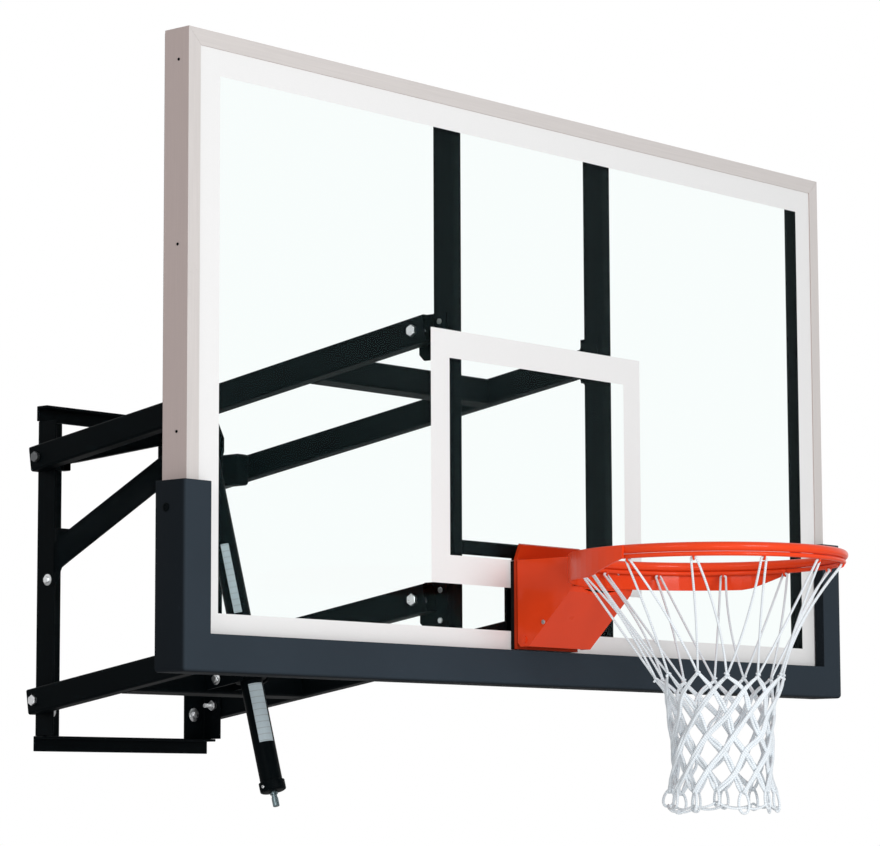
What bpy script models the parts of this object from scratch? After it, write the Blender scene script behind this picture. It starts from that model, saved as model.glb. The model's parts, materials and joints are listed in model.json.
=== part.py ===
"""A wall-mounted basketball hoop whose glass board and rim ride on a four-bar arm frame.

The origin lies on the wall plane at the centre of the wall frame. X runs to the right as
seen by a player, +Y runs into the wall and +Z runs up. The sizes were found in inches.
"""

import math

import bmesh
import bpy
from mathutils import Vector

INCH = 0.0254
SEAT = 0.0003  # gap between pieces that touch
SIDES = {"left": -1, "right": 1}

# Wall frame: two angle-iron rails between two angle-iron bars
FRAME_HALF_WIDTH = 9.36 * INCH  # outer faces of the rails
FRAME_PAST_PIVOTS = 8.2 * INCH  # frame height beyond the pivots' spacing
RAIL_DEPTH = 2.0 * INCH
RAIL_FLANGE = 2.4 * INCH
RAIL_THICKNESS = 0.2 * INCH
BAR_HEIGHT = 1.2 * INCH
BAR_OVERHANG = 0.19 * INCH
EDGE_ROUNDING = 0.04 * INCH

# Four-bar arms
PIVOT_OUT = 1.3 * INCH  # wall pivots, measured out from the wall
PIVOT_SPACING = 19.2 * INCH
PIVOT_DROP = 0.15 * INCH  # pivots' middle below the frame's
UPPER_PIVOT_Z = PIVOT_SPACING / 2 - PIVOT_DROP
FRAME_HEIGHT = PIVOT_SPACING + FRAME_PAST_PIVOTS
ARM_LENGTH = 40.2 * INCH  # from pivot to pivot
ARM_RISE = math.radians(8.7)
ARM_HEIGHT = 2.0 * INCH
ARM_WIDTH = 1.25 * INCH
ARM_WALL = 0.12 * INCH
ARM_WALL_END = 0.8 * INCH  # tube left past each pivot
ARM_BOARD_END = 1.0 * INCH
ARM_SIDE_PLAY = 0.06 * INCH
CROSS_TUBE_DEPTH = 1.5 * INCH
UPPER_CROSS_AT = 29.4 * INCH  # along the arm from its wall pivot
LOWER_CROSS_AT = 9.25 * INCH

# Pivot bolts
BOLT_RADIUS = 0.25 * INCH
BOLT_HEAD_RADIUS = 0.375 * INCH  # half of the width across the flats
BOLT_HEAD_HEIGHT = 0.32 * INCH
BOLT_PLAY = 0.02 * INCH
BOLT_TAIL = 0.12 * INCH

# Screw jack between the wall frame and the lower arms
JACK_PIN_OUT = 9.13 * INCH
JACK_PIN_Z = UPPER_PIVOT_Z + 1.65 * INCH
JACK_PIN_RADIUS = 0.3 * INCH
PIN_HEAD_RATIO = 1.5  # a plain pin's head against its shank
JACK_PIN_HEAD = 0.12 * INCH
TRUNNION_AT = 13.34 * INCH  # along the lower arm from its wall pivot
SLIDE_PLAY = 0.015 * INCH
INNER_TUBE_RADIUS = 0.875 * INCH
INNER_TUBE_WALL = 0.12 * INCH
INNER_TUBE_TOP = 4.65 * INCH  # these stations are measured down from the jack's pin
OUTER_TUBE_RADIUS = INNER_TUBE_RADIUS + SLIDE_PLAY + 0.06 * INCH
OUTER_TUBE_TOP = 1.0 * INCH
OUTER_TUBE_GAP = 0.58 * INCH  # from the tube's end to the trunnion collar
EYE_WALL = 0.4 * INCH
EYE_HALF_WIDTH = 0.6 * INCH
PLUG_LENGTH = 0.4 * INCH
PLUG_BITE = 0.02 * INCH  # how far the plug and the eye run into the tube's wall
CAP_BELOW_TRUNNION = 8.47 * INCH
CAP_LENGTH = 1.1 * INCH
CAP_RADIUS = INNER_TUBE_RADIUS + 0.145 * INCH
CAP_SOCKET = 0.3 * INCH
CAP_CHAMFER = 0.12 * INCH
CRANK_STUB = 1.2 * INCH
CRANK_STUB_RADIUS = 0.22 * INCH
CRANK_STUB_CHAMFER = 0.05 * INCH
SCREW_LENGTH = 15.55 * INCH
NUT_RADIUS = INNER_TUBE_RADIUS - INNER_TUBE_WALL - 0.095 * INCH
NUT_LENGTH = 1.2 * INCH
NUT_ABOVE_CAP = 3.85 * INCH
PUSH_TUBE_RADIUS = NUT_RADIUS - 0.14 * INCH
SCREW_RADIUS = PUSH_TUBE_RADIUS - 0.18 * INCH
COLLAR_RADIUS = INNER_TUBE_RADIUS + 0.325 * INCH
COLLAR_HEIGHT = 1.2 * INCH
COLLAR_BITE = 0.15 * INCH
TRUNNION_PIN_RADIUS = 0.3 * INCH
LUG_X = COLLAR_RADIUS + 0.16 * INCH  # inner faces of the lugs and of the hanger's cheeks
LUG_THICKNESS = 0.25 * INCH
LUG_HEIGHT = 1.5 * INCH

# Struts and ties that hold the jack's pin out from the rails
STRUT_HEIGHT = 2.0 * INCH
STRUT_WIDTH = 1.3 * INCH
STRUT_FOOT = Vector((FRAME_HALF_WIDTH - 1.11 * INCH, -RAIL_DEPTH - 0.2 * INCH, 2.35 * INCH))
STRUT_HEAD = Vector((LUG_X + 0.24 * INCH, -JACK_PIN_OUT + 2.45 * INCH, JACK_PIN_Z - 2.2 * INCH))
STRUT_PLATE_BOTTOM = -0.5 * INCH
STRUT_PLATE_TOP = 3.85 * INCH
STRUT_PLATE_TAPER = 1.25 * INCH  # height of the cut-off corner
STRUT_PLATE_FOOT = 0.5 * INCH  # width that the taper leaves
TIE_HEIGHT = 1.5 * INCH
TIE_WIDTH = 1.0 * INCH
TIE_FOOT = Vector((FRAME_HALF_WIDTH - 0.5 * INCH, -RAIL_DEPTH - 0.2 * INCH, JACK_PIN_Z - 1.5 * INCH))
TIE_HEAD = Vector((LUG_X + 0.24 * INCH, -JACK_PIN_OUT + 1.53 * INCH, JACK_PIN_Z + 0.5 * INCH))
TIE_BLOCK_HEIGHT = 2.4 * INCH
TIE_BLOCK_DEPTH = 1.5 * INCH
TIE_BLOCK_ROUNDING = 0.12 * INCH
CHEEK_FRONT = 0.75 * INCH  # past the pin
CHEEK_REAR = 1.0 * INCH  # behind the struts' heads
CHEEK_ABOVE = 1.0 * INCH  # over the ties' heads
CHEEK_BELOW = 1.7 * INCH  # under the struts' heads
CHEEK_SHOULDER = 0.9 * INCH
CHEEK_FOOT = 1.9 * INCH  # front of the cheek's foot, before the struts' heads
CHEEK_CORNER = Vector((0.65, 1.3)) * INCH
PLATE = 0.25 * INCH

# Board, measured from the middle of the clear pane's lower edge on the glass's front face
PIVOT_ABOVE_PANE = 2.03 * INCH
BOARD_WIDTH = 72.0 * INCH
BOARD_BOTTOM = -2.8 * INCH
BOARD_TOP = 38.4 * INCH
LIP_WIDTH = 1.1 * INCH
LIP_THICKNESS = 0.08 * INCH
FRAME_WEB = 0.12 * INCH
FRAME_REAR = 2.15 * INCH
GLASS_THICKNESS = 0.5 * INCH
STEEL_WIDTH = 1.25 * INCH
STEEL_WALL = 0.1 * INCH
STEEL_REAR = 2.4 * INCH
PIVOT_BEHIND_GLASS = STEEL_REAR + 0.55 * INCH
SUPPORT_X = FRAME_HALF_WIDTH - 0.74 * INCH
SUPPORT_WIDTH = 1.0 * INCH

# Brackets that carry the board pivots on the supports
BRACKET_THICKNESS = 0.18 * INCH
BRACKET_BACK = 0.125 * INCH
BRACKET_ABOVE = 1.3 * INCH
BRACKET_BELOW = 2.0 * INCH
BRACKET_FRONT = 1.0 * INCH
BRACKET_REAR = PIVOT_BEHIND_GLASS + 0.6 * INCH
BRACKET_CHAMFER = 0.45 * INCH

# Edge pad on the lower corners of the board
PAD_FRONT = 1.0 * INCH
PAD_SIDE = 1.1 * INCH
PAD_COVER = 1.4 * INCH
PAD_REAR = 1.7 * INCH
PAD_LEG_TOP = 8.45 * INCH
PAD_ROUNDING = 0.32 * INCH

# Ring, net and the sprung base that carries them
RING_INSIDE = 18.0 * INCH
RING_TUBE_RADIUS = 0.3125 * INCH
RING_GAP = 6.15 * INCH  # from the glass to the ring's inner edge
RING_OUT = RING_GAP + RING_INSIDE / 2
RING_LEVEL = 4.7 * INCH
NET_ROD_RADIUS = 0.156 * INCH
HOOKS = 12
HOOK_WIRE = 0.07 * INCH
HOOK_LEG = 0.3 * INCH
HOOK_BEND = 0.26 * INCH
HOOK_TIP = 0.12 * INCH
BRACE_THICKNESS = 0.15 * INCH
BRACE_BOTTOM = 3.0 * INCH
BRACE_TOP = RING_LEVEL + 0.24 * INCH
BRACE_END_HEIGHT = 0.85 * INCH
BRACE_TAPER = math.radians(20)
BASE_HALF_WIDTH = 3.5 * INCH
BASE_PLATE = 0.15 * INCH
BASE_TOP = 5.05 * INCH
BASE_REAR = 0.72 * INCH  # these stations are measured out from the glass
BASE_FRONT = 5.7 * INCH
BASE_BOTTOM = -1.15 * INCH
BASE_SLOPE_TOP = 2.6 * INCH
BASE_SLOPE_INSET = 0.2 * INCH
BASE_SILL = 0.4 * INCH
BASE_TOE = Vector((0.25, 0.3)) * INCH  # corner cut off at the rear foot
SADDLE_HALF_WIDTH = 2.6 * INCH  # the block that the ring and its brace seat in
SADDLE_DEPTH = 0.55 * INCH
GASKET = 0.35 * INCH
GASKET_INSET = 0.1 * INCH
GASKET_DROP = 0.05 * INCH
MOUNT_PLATE = 0.25 * INCH
MOUNT_LIP_TOP = 6.25 * INCH
MOUNT_LIP_LEAN = 0.45 * INCH
MOUNT_BOTTOM = -1.3 * INCH
MOUNT_INSET = 0.05 * INCH
MOUNT_LIP_FOOT = 0.12 * INCH  # where the lip starts, over the base's top
MOUNT_LIP_SLANT = 0.1 * INCH
HINGE_OUT = 1.3 * INCH
HINGE_Z = -0.65 * INCH
HINGE_PIN_RADIUS = 0.18 * INCH
HINGE_PIN_HEAD = 0.08 * INCH
EAR_RADIUS = 0.4 * INCH
EAR_X = 2.9 * INCH
EAR_ROOT = 0.5 * INCH
STUD_X = 1.75 * INCH
STUD_Z = 3.2 * INCH
STUD_RADIUS = 0.18 * INCH
STUD_HEAD_OUT = 4.4 * INCH
STUD_HEAD_RADIUS = 0.42 * INCH
STUD_HEAD = 0.15 * INCH
STUD_NUT_RADIUS = 0.3 * INCH
STUD_NUT = 0.25 * INCH
STUD_TAIL = 0.15 * INCH
GLASS_HOLE_PLAY = 0.08 * INCH
LOWER_STUD_Z = 0.9 * INCH
SPRING_PLATE_OUT = 1.2 * INCH
FORK_INSET = 0.2 * INCH
FORK_BELOW = 0.8 * INCH
FORK_SLOT_PLAY = 0.06 * INCH
FORK_SLOT_TOP = 0.65 * INCH
SPRING_RADIUS = 0.34 * INCH
SPRING_WIRE = 0.055 * INCH
SPRING_TURNS = 8
BACKING_THICKNESS = 0.25 * INCH
BACKING_BAR_TOP = 6.3 * INCH
BACKING_BAR_HEIGHT = 1.0 * INCH
BACKING_SHOULDER = 3.2 * INCH
BACKING_NECK = 2.5 * INCH
BACKING_BOTTOM = 0.06 * INCH
BACKING_INSET = 0.2 * INCH

# Net
NET_CORD = 0.2 * INCH
NET_LOOP_PLAY = 0.06 * INCH
NET_FIRST_KNOTS = -4.1 * INCH
NET_BOTTOM = -13.2 * INCH
NET_ROWS = 8
NET_SHOULDER_RADIUS = 4.2 * INCH
NET_WAIST_RADIUS = 3.65 * INCH
NET_HEM_RADIUS = 3.9 * INCH
NET_WAIST_AT = 0.6  # share of the way from the first knots down to the hem

# Places that follow from the sizes above
ARM_INNER_X = FRAME_HALF_WIDTH + ARM_SIDE_PLAY
ARM_OUTER_X = ARM_INNER_X + ARM_WIDTH
LOWER_PIVOT_Z = UPPER_PIVOT_Z - PIVOT_SPACING
BOARD_PIVOT_Y = -PIVOT_OUT - ARM_LENGTH * math.cos(ARM_RISE)
BOARD_PIVOT_Z = UPPER_PIVOT_Z + ARM_LENGTH * math.sin(ARM_RISE)
PIVOT_HEIGHTS = {"lower": PIVOT_ABOVE_PANE, "upper": PIVOT_ABOVE_PANE + PIVOT_SPACING}
TRUNNION_Y = -PIVOT_OUT - TRUNNION_AT * math.cos(ARM_RISE)
TRUNNION_Z = LOWER_PIVOT_Z + TRUNNION_AT * math.sin(ARM_RISE)
JACK_LENGTH = math.hypot(TRUNNION_Y + JACK_PIN_OUT, TRUNNION_Z - JACK_PIN_Z)
JACK_LEAN = math.atan2(-JACK_PIN_OUT - TRUNNION_Y, JACK_PIN_Z - TRUNNION_Z)
OUTER_TUBE_END = JACK_LENGTH - COLLAR_HEIGHT / 2 - OUTER_TUBE_GAP
CAP_TOP = JACK_LENGTH + CAP_BELOW_TRUNNION
PUSH_TUBE_END = CAP_TOP - NUT_ABOVE_CAP - NUT_LENGTH
SCREW_TOP = CAP_TOP - SCREW_LENGTH
RING_RADIUS = RING_INSIDE / 2 + RING_TUBE_RADIUS
NET_ROD_LEVEL = RING_LEVEL - RING_TUBE_RADIUS - SEAT - NET_ROD_RADIUS
BRACE_INNER = RING_RADIUS + RING_TUBE_RADIUS + SEAT
BRACE_OUTER = BRACE_INNER + BRACE_THICKNESS
SUPPORT_OUTER_X = SUPPORT_X + SUPPORT_WIDTH / 2
MOUNT_FRONT = SEAT + GASKET + SEAT + MOUNT_PLATE

# Colour, roughness and metallic value of each finish
FINISHES = {
    "black_steel": ((0.012, 0.014, 0.015), 0.45, 0.2),
    "zinc": ((0.55, 0.56, 0.58), 0.35, 1.0),
    "aluminium": ((0.55, 0.53, 0.5), 0.4, 0.8),
    "glass": ((0.85, 0.9, 0.9), 0.05, 0.0),
    "pad": ((0.035, 0.037, 0.042), 0.75, 0.0),
    "rubber": ((0.01, 0.01, 0.01), 0.8, 0.0),
    "orange": ((0.78, 0.12, 0.04), 0.35, 0.0),
    "cord": ((0.85, 0.87, 0.88), 0.9, 0.0),
}


def clear_scene():
    for thing in list(bpy.data.objects):
        bpy.data.objects.remove(thing)


def loft(rings, closed=False):
    """A solid through rings of equally many points, capped at its ends unless it is closed."""
    mesh = bmesh.new()
    rows = [[mesh.verts.new(point) for point in ring] for ring in rings]
    count = len(rows[0])
    pairs = list(zip(rows, rows[1:]))
    if closed:
        pairs.append((rows[-1], rows[0]))
    for low, high in pairs:
        for here in range(count):
            there = (here + 1) % count
            mesh.faces.new((low[here], low[there], high[there], high[here]))
    if not closed:
        mesh.faces.new(rows[0])
        mesh.faces.new(rows[-1])
    bmesh.ops.recalc_face_normals(mesh, faces=mesh.faces)
    return mesh


def at(axis, first, second, along):
    """A point from two coordinates across an axis and one along it."""
    if axis == "X":
        return Vector((along, first, second))
    if axis == "Y":
        return Vector((first, along, second))
    return Vector((first, second, along))


def prism(outline, axis, start, end):
    return loft([[at(axis, a, b, station) for a, b in outline] for station in (start, end)])


def box(x, y, z):
    return prism([(x[0], y[0]), (x[1], y[0]), (x[1], y[1]), (x[0], y[1])], "Z", z[0], z[1])


def circle(radius, sides, centre=(0.0, 0.0)):
    turn = 2 * math.pi / sides
    return [
        (centre[0] + radius * math.cos(k * turn), centre[1] + radius * math.sin(k * turn))
        for k in range(sides)
    ]


def hexagon(flat_radius, sides, centre):
    """A hexagon drawn with as many points as the round rings that it is lofted to."""
    points = []
    for k in range(sides):
        angle = 2 * math.pi * k / sides
        from_flat = (angle + math.pi / 6) % (math.pi / 3) - math.pi / 6
        radius = flat_radius / math.cos(from_flat)
        points.append((centre[0] + radius * math.cos(angle), centre[1] + radius * math.sin(angle)))
    return points


def cylinder(axis, centre, radius, start, end, sides=16):
    return prism(circle(radius, sides, centre), axis, start, end)


def turned(profile, axis="Z", centre=(0.0, 0.0), sides=24, bored=True):
    """Turns (radius, station) pairs round an axis. A bored profile closes on itself."""
    rings = [
        [at(axis, a, b, station) for a, b in circle(radius, sides, centre)]
        for radius, station in profile
    ]
    return loft(rings, closed=bored)


def rounded_rectangle(width, height, radius, steps=3):
    points = []
    corners = [(1, 1, 0), (-1, 1, 90), (-1, -1, 180), (1, -1, 270)]
    for right, up, start in corners:
        for step in range(steps + 1):
            angle = math.radians(start + 90 * step / steps)
            points.append(
                (
                    right * (width / 2 - radius) + radius * math.cos(angle),
                    up * (height / 2 - radius) + radius * math.sin(angle),
                )
            )
    return points


def square_tube(width, height, wall, axis, start, end, centre=(0.0, 0.0)):
    """An open-ended tube with rounded edges."""
    outer = rounded_rectangle(width, height, 1.5 * wall)
    inner = rounded_rectangle(width - 2 * wall, height - 2 * wall, 0.5 * wall)
    rings = []
    for outline, station in ((outer, start), (outer, end), (inner, end), (inner, start)):
        rings.append([at(axis, centre[0] + a, centre[1] + b, station) for a, b in outline])
    return loft(rings, closed=True)


def cord(points, radius, sides=6):
    """A round wire along a list of points, square to its run at each of them."""
    rings = []
    across = None
    for here, point in enumerate(points):
        before = points[max(here - 1, 0)]
        after = points[min(here + 1, len(points) - 1)]
        run = (after - before).normalized()
        if across is None:
            across = run.orthogonal().normalized()
        across = (across - run * across.dot(run)).normalized()
        up = run.cross(across)
        rings.append([point + across * a + up * b for a, b in circle(radius, sides)])
    return loft(rings)


def joined(*meshes):
    """Several loose solids in one mesh, for use as a cutter or as an addition."""
    whole = bmesh.new()
    for mesh in meshes:
        loose = bpy.data.meshes.new("loose")
        mesh.to_mesh(loose)
        mesh.free()
        whole.from_mesh(loose)
        bpy.data.meshes.remove(loose)
    return whole


def finish(name, kind):
    colour, roughness, metallic = FINISHES[kind]
    made = bpy.data.materials.new(name)
    made.use_nodes = True
    shader = made.node_tree.nodes["Principled BSDF"]
    shader.inputs["Base Color"].default_value = (*colour, 1.0)
    shader.inputs["Roughness"].default_value = roughness
    shader.inputs["Metallic"].default_value = metallic
    made.diffuse_color = (*colour, 1.0)
    return made


def empty(name, location, parent=None, tilt=0.0):
    """A joint's frame: the pieces that turn with it are its children."""
    frame = bpy.data.objects.new(name, None)
    frame.empty_display_size = 0.05
    frame.location = location
    frame.rotation_euler = (tilt, 0.0, 0.0)
    frame.parent = parent
    bpy.context.scene.collection.objects.link(frame)
    return frame


def piece(name, mesh, kind, parent=None, smooth=False):
    data = bpy.data.meshes.new(name)
    mesh.to_mesh(data)
    mesh.free()
    data.materials.append(finish(name, kind))
    if smooth:
        data.shade_smooth()
        data.set_sharp_from_angle(angle=math.radians(35))
    made = bpy.data.objects.new(name, data)
    made.parent = parent
    bpy.context.scene.collection.objects.link(made)
    return made


def combine(target, operation, mesh):
    """Adds a Boolean that cuts the mesh from the piece or joins the mesh to it."""
    data = bpy.data.meshes.new(target.name + "_tool")
    mesh.to_mesh(data)
    mesh.free()
    tool = bpy.data.objects.new(target.name + "_tool", data)
    tool.parent = target
    tool.hide_render = True
    tool.display_type = "WIRE"
    bpy.context.scene.collection.objects.link(tool)
    step = target.modifiers.new(operation.lower(), "BOOLEAN")
    step.operation = operation
    step.solver = "EXACT"
    step.object = tool


def cut(target, mesh):
    combine(target, "DIFFERENCE", mesh)


def add(target, mesh):
    combine(target, "UNION", mesh)


def soften(target, width, segments=1):
    step = target.modifiers.new("soft_edges", "BEVEL")
    step.width = width
    step.segments = segments
    step.limit_method = "ANGLE"
    step.angle_limit = math.radians(40)


def cross_bolt(name, side, centre, outer_x, inner_x, parent, radius=BOLT_RADIUS):
    """A bolt along X with its head outside outer_x and its nut inside inner_x."""
    scale = radius / BOLT_RADIUS
    head = BOLT_HEAD_RADIUS * scale
    height = BOLT_HEAD_HEIGHT * scale
    ways = [
        (outer_x + SEAT + height, hexagon(head, 12, centre)),
        (outer_x + SEAT, hexagon(head, 12, centre)),
        (outer_x + SEAT, circle(radius, 12, centre)),
        (inner_x - SEAT, circle(radius, 12, centre)),
        (inner_x - SEAT, hexagon(head, 12, centre)),
        (inner_x - SEAT - height, hexagon(head, 12, centre)),
        (inner_x - SEAT - height, circle(radius, 12, centre)),
        (inner_x - SEAT - height - BOLT_TAIL * scale, circle(radius, 12, centre)),
    ]
    rings = [[at("X", a, b, side * station) for a, b in outline] for station, outline in ways]
    return piece(name, loft(rings), "zinc", parent, smooth=True)


def bolt_hole(centre, radius=BOLT_RADIUS):
    """A cutter along X, long enough for any piece that a pivot bolt passes."""
    reach = BOARD_WIDTH / 2
    return cylinder("X", centre, radius + BOLT_PLAY, -reach, reach)


# Wall frame


def wall_rails():
    reach = FRAME_HEIGHT / 2 - BAR_HEIGHT - SEAT
    for name, side in SIDES.items():
        outer = FRAME_HALF_WIDTH
        outline = [
            (outer, 0.0),
            (outer, -RAIL_DEPTH),
            (outer - RAIL_THICKNESS, -RAIL_DEPTH),
            (outer - RAIL_THICKNESS, -RAIL_THICKNESS),
            (outer - RAIL_FLANGE, -RAIL_THICKNESS),
            (outer - RAIL_FLANGE, 0.0),
        ]
        mirrored = [(side * x, y) for x, y in outline]
        rail = piece("wall_rail_" + name, prism(mirrored, "Z", -reach, reach), "black_steel")
        soften(rail, EDGE_ROUNDING)
        for height in (UPPER_PIVOT_Z, LOWER_PIVOT_Z):
            cut(rail, bolt_hole((-PIVOT_OUT, height)))


def wall_bars():
    reach = FRAME_HALF_WIDTH + BAR_OVERHANG
    for name, level in (("top", FRAME_HEIGHT / 2), ("bottom", BAR_HEIGHT - FRAME_HEIGHT / 2)):
        under = level - BAR_HEIGHT
        outline = [
            (0.0, under),
            (0.0, level),
            (-BAR_HEIGHT, level),
            (-BAR_HEIGHT, level - RAIL_THICKNESS),
            (-RAIL_THICKNESS, level - RAIL_THICKNESS),
            (-RAIL_THICKNESS, under),
        ]
        bar = piece("wall_bar_" + name, prism(outline, "X", -reach, reach), "black_steel")
        soften(bar, EDGE_ROUNDING)


def wall_pivot_bolts():
    inner = FRAME_HALF_WIDTH - RAIL_THICKNESS
    for level, height in (("upper", UPPER_PIVOT_Z), ("lower", LOWER_PIVOT_Z)):
        for name, side in SIDES.items():
            bolt_name = f"wall_pivot_bolt_{level}_{name}"
            cross_bolt(bolt_name, side, (-PIVOT_OUT, height), ARM_OUTER_X, inner, None)


def slanted_tube(foot, head, height, width, wall, foot_y, head_x):
    """A tube that starts on a plane across Y and ends on a plane across X."""
    run = (head - foot).normalized()
    across = Vector((0.0, 0.0, 1.0)).cross(run).normalized()
    up = run.cross(across)

    def ring(outline, value, axis):
        points = []
        for a, b in outline:
            edge = foot + across * a + up * b
            points.append(edge + run * ((value - edge[axis]) / run[axis]))
        return points

    outer = rounded_rectangle(width, height, 1.5 * wall, 2)
    inner = rounded_rectangle(width - 2 * wall, height - 2 * wall, 0.5 * wall, 2)
    return loft(
        [
            ring(outer, foot_y, 1),
            ring(outer, head_x, 0),
            ring(inner, head_x, 0),
            ring(inner, foot_y, 1),
        ],
        closed=True,
    )


def mirrored(point, side):
    return Vector((side * point.x, point.y, point.z))


def hanger_struts():
    """Two tubes that rise from plates on the rails to the hanger's cheeks."""
    plate_rear = -RAIL_DEPTH - SEAT
    inner = FRAME_HALF_WIDTH - RAIL_FLANGE
    head_x = LUG_X + LUG_THICKNESS + SEAT
    outline = [
        (FRAME_HALF_WIDTH, STRUT_PLATE_BOTTOM),
        (FRAME_HALF_WIDTH, STRUT_PLATE_TOP),
        (inner, STRUT_PLATE_TOP),
        (inner, STRUT_PLATE_BOTTOM + STRUT_PLATE_TAPER),
        (FRAME_HALF_WIDTH - STRUT_PLATE_FOOT, STRUT_PLATE_BOTTOM),
    ]
    for name, side in SIDES.items():
        plate = prism([(side * x, z) for x, z in outline], "Y", plate_rear - PLATE, plate_rear)
        strut = piece("jack_strut_" + name, plate, "black_steel")
        tube = slanted_tube(
            mirrored(STRUT_FOOT, side),
            mirrored(STRUT_HEAD, side),
            STRUT_HEIGHT,
            STRUT_WIDTH,
            ARM_WALL,
            plate_rear - PLATE / 2,
            side * head_x,
        )
        add(strut, tube)


def hanger_ties():
    """Two flatter tubes from blocks in front of the rails to the hanger's cheeks."""
    block_rear = -RAIL_DEPTH - SEAT
    block_front = block_rear - TIE_BLOCK_DEPTH
    head_x = LUG_X + LUG_THICKNESS + SEAT
    bottom = TIE_FOOT.z - TIE_BLOCK_HEIGHT / 2
    for name, side in SIDES.items():
        inner = TIE_FOOT.x - TIE_WIDTH / 2
        x = sorted((side * inner, side * FRAME_HALF_WIDTH))
        block = box(x, (block_front, block_rear), (bottom, bottom + TIE_BLOCK_HEIGHT))
        tie = piece("jack_tie_" + name, block, "black_steel")
        soften(tie, TIE_BLOCK_ROUNDING, 2)
        tube = slanted_tube(
            mirrored(TIE_FOOT, side),
            mirrored(TIE_HEAD, side),
            TIE_HEIGHT,
            TIE_WIDTH,
            ARM_WALL,
            (block_front + block_rear) / 2,
            side * head_x,
        )
        add(tie, tube)


def jack_hanger():
    """A bent plate with two cheeks that hold the jack's pin, and its web at the rear."""
    front = -JACK_PIN_OUT - CHEEK_FRONT
    rear = STRUT_HEAD.y + CHEEK_REAR
    top = TIE_HEAD.z + CHEEK_ABOVE
    bottom = STRUT_HEAD.z - CHEEK_BELOW
    shoulder = JACK_PIN_Z - CHEEK_SHOULDER
    cheek = [
        (rear, bottom),
        (rear, top),
        (front + CHEEK_CORNER.x, top),
        (front, top - CHEEK_CORNER.y),
        (front, shoulder),
        (STRUT_HEAD.y - CHEEK_FOOT, bottom),
    ]
    outer = LUG_X + LUG_THICKNESS
    hanger = piece("jack_hanger", prism(cheek, "X", -outer, outer), "black_steel")
    web_front = rear - LUG_THICKNESS
    throat = box((-LUG_X, LUG_X), (front - INCH, web_front), (bottom - INCH, top + INCH))
    cut(hanger, throat)
    cut(hanger, bolt_hole((-JACK_PIN_OUT, JACK_PIN_Z), JACK_PIN_RADIUS))


def jack_pin():
    """A clevis pin with a flat head on the left and a collar on the right."""
    outer = LUG_X + LUG_THICKNESS + SEAT
    head = JACK_PIN_RADIUS * PIN_HEAD_RATIO
    thickness = JACK_PIN_HEAD
    profile = [
        (head, -outer - thickness),
        (head, -outer),
        (JACK_PIN_RADIUS, -outer),
        (JACK_PIN_RADIUS, outer),
        (head, outer),
        (head, outer + thickness),
    ]
    centre = (-JACK_PIN_OUT, JACK_PIN_Z)
    piece("jack_pin", turned(profile, "X", centre, 16, bored=False), "zinc", smooth=True)


# Arms, drawn level with their wall pivot at the origin and running to -Y


def arm(name, side, parent):
    centre = side * (ARM_INNER_X + ARM_WIDTH / 2)
    tube = square_tube(
        ARM_WIDTH,
        ARM_HEIGHT,
        ARM_WALL,
        "Y",
        ARM_WALL_END,
        -ARM_LENGTH - ARM_BOARD_END,
        (centre, 0.0),
    )
    made = piece(name, tube, "black_steel", parent, smooth=True)
    for station in (0.0, -ARM_LENGTH):
        cut(made, bolt_hole((station, 0.0)))


def cross_tube(name, station, parent):
    reach = ARM_INNER_X - SEAT
    tube = square_tube(
        CROSS_TUBE_DEPTH, ARM_HEIGHT, ARM_WALL, "X", -reach, reach, (-station, 0.0)
    )
    return piece(name, tube, "black_steel", parent, smooth=True)


def upper_arms():
    pivot = empty("upper_arm_pivot", (0.0, -PIVOT_OUT, UPPER_PIVOT_Z), tilt=-ARM_RISE)
    for name, side in SIDES.items():
        arm("upper_arm_" + name, side, pivot)
    cross_tube("upper_cross_tube", UPPER_CROSS_AT, pivot)


def lug_outline():
    """A lug that starts on the cross tube's front face and ends round the trunnion."""
    half = LUG_HEIGHT / 2
    root = -LOWER_CROSS_AT - CROSS_TUBE_DEPTH / 2 + ARM_WALL / 2
    points = [(root, -half), (root, half)]
    for step in range(7):
        angle = math.radians(90 + 180 * step / 6)
        points.append((-TRUNNION_AT + half * math.cos(angle), half * math.sin(angle)))
    return points


def lower_arms():
    pivot = empty("lower_arm_pivot", (0.0, -PIVOT_OUT, LOWER_PIVOT_Z), tilt=-ARM_RISE)
    for name, side in SIDES.items():
        arm("lower_arm_" + name, side, pivot)
    tube = cross_tube("lower_cross_tube", LOWER_CROSS_AT, pivot)
    for side in SIDES.values():
        faces = sorted((side * LUG_X, side * (LUG_X + LUG_THICKNESS)))
        add(tube, prism(lug_outline(), "X", *faces))
    reach = LUG_X + LUG_THICKNESS + INCH
    centre = (-TRUNNION_AT, 0.0)
    cut(tube, cylinder("X", centre, TRUNNION_PIN_RADIUS + BOLT_PLAY, -reach, reach))


# Board, drawn from the middle of the clear pane's lower edge


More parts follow.
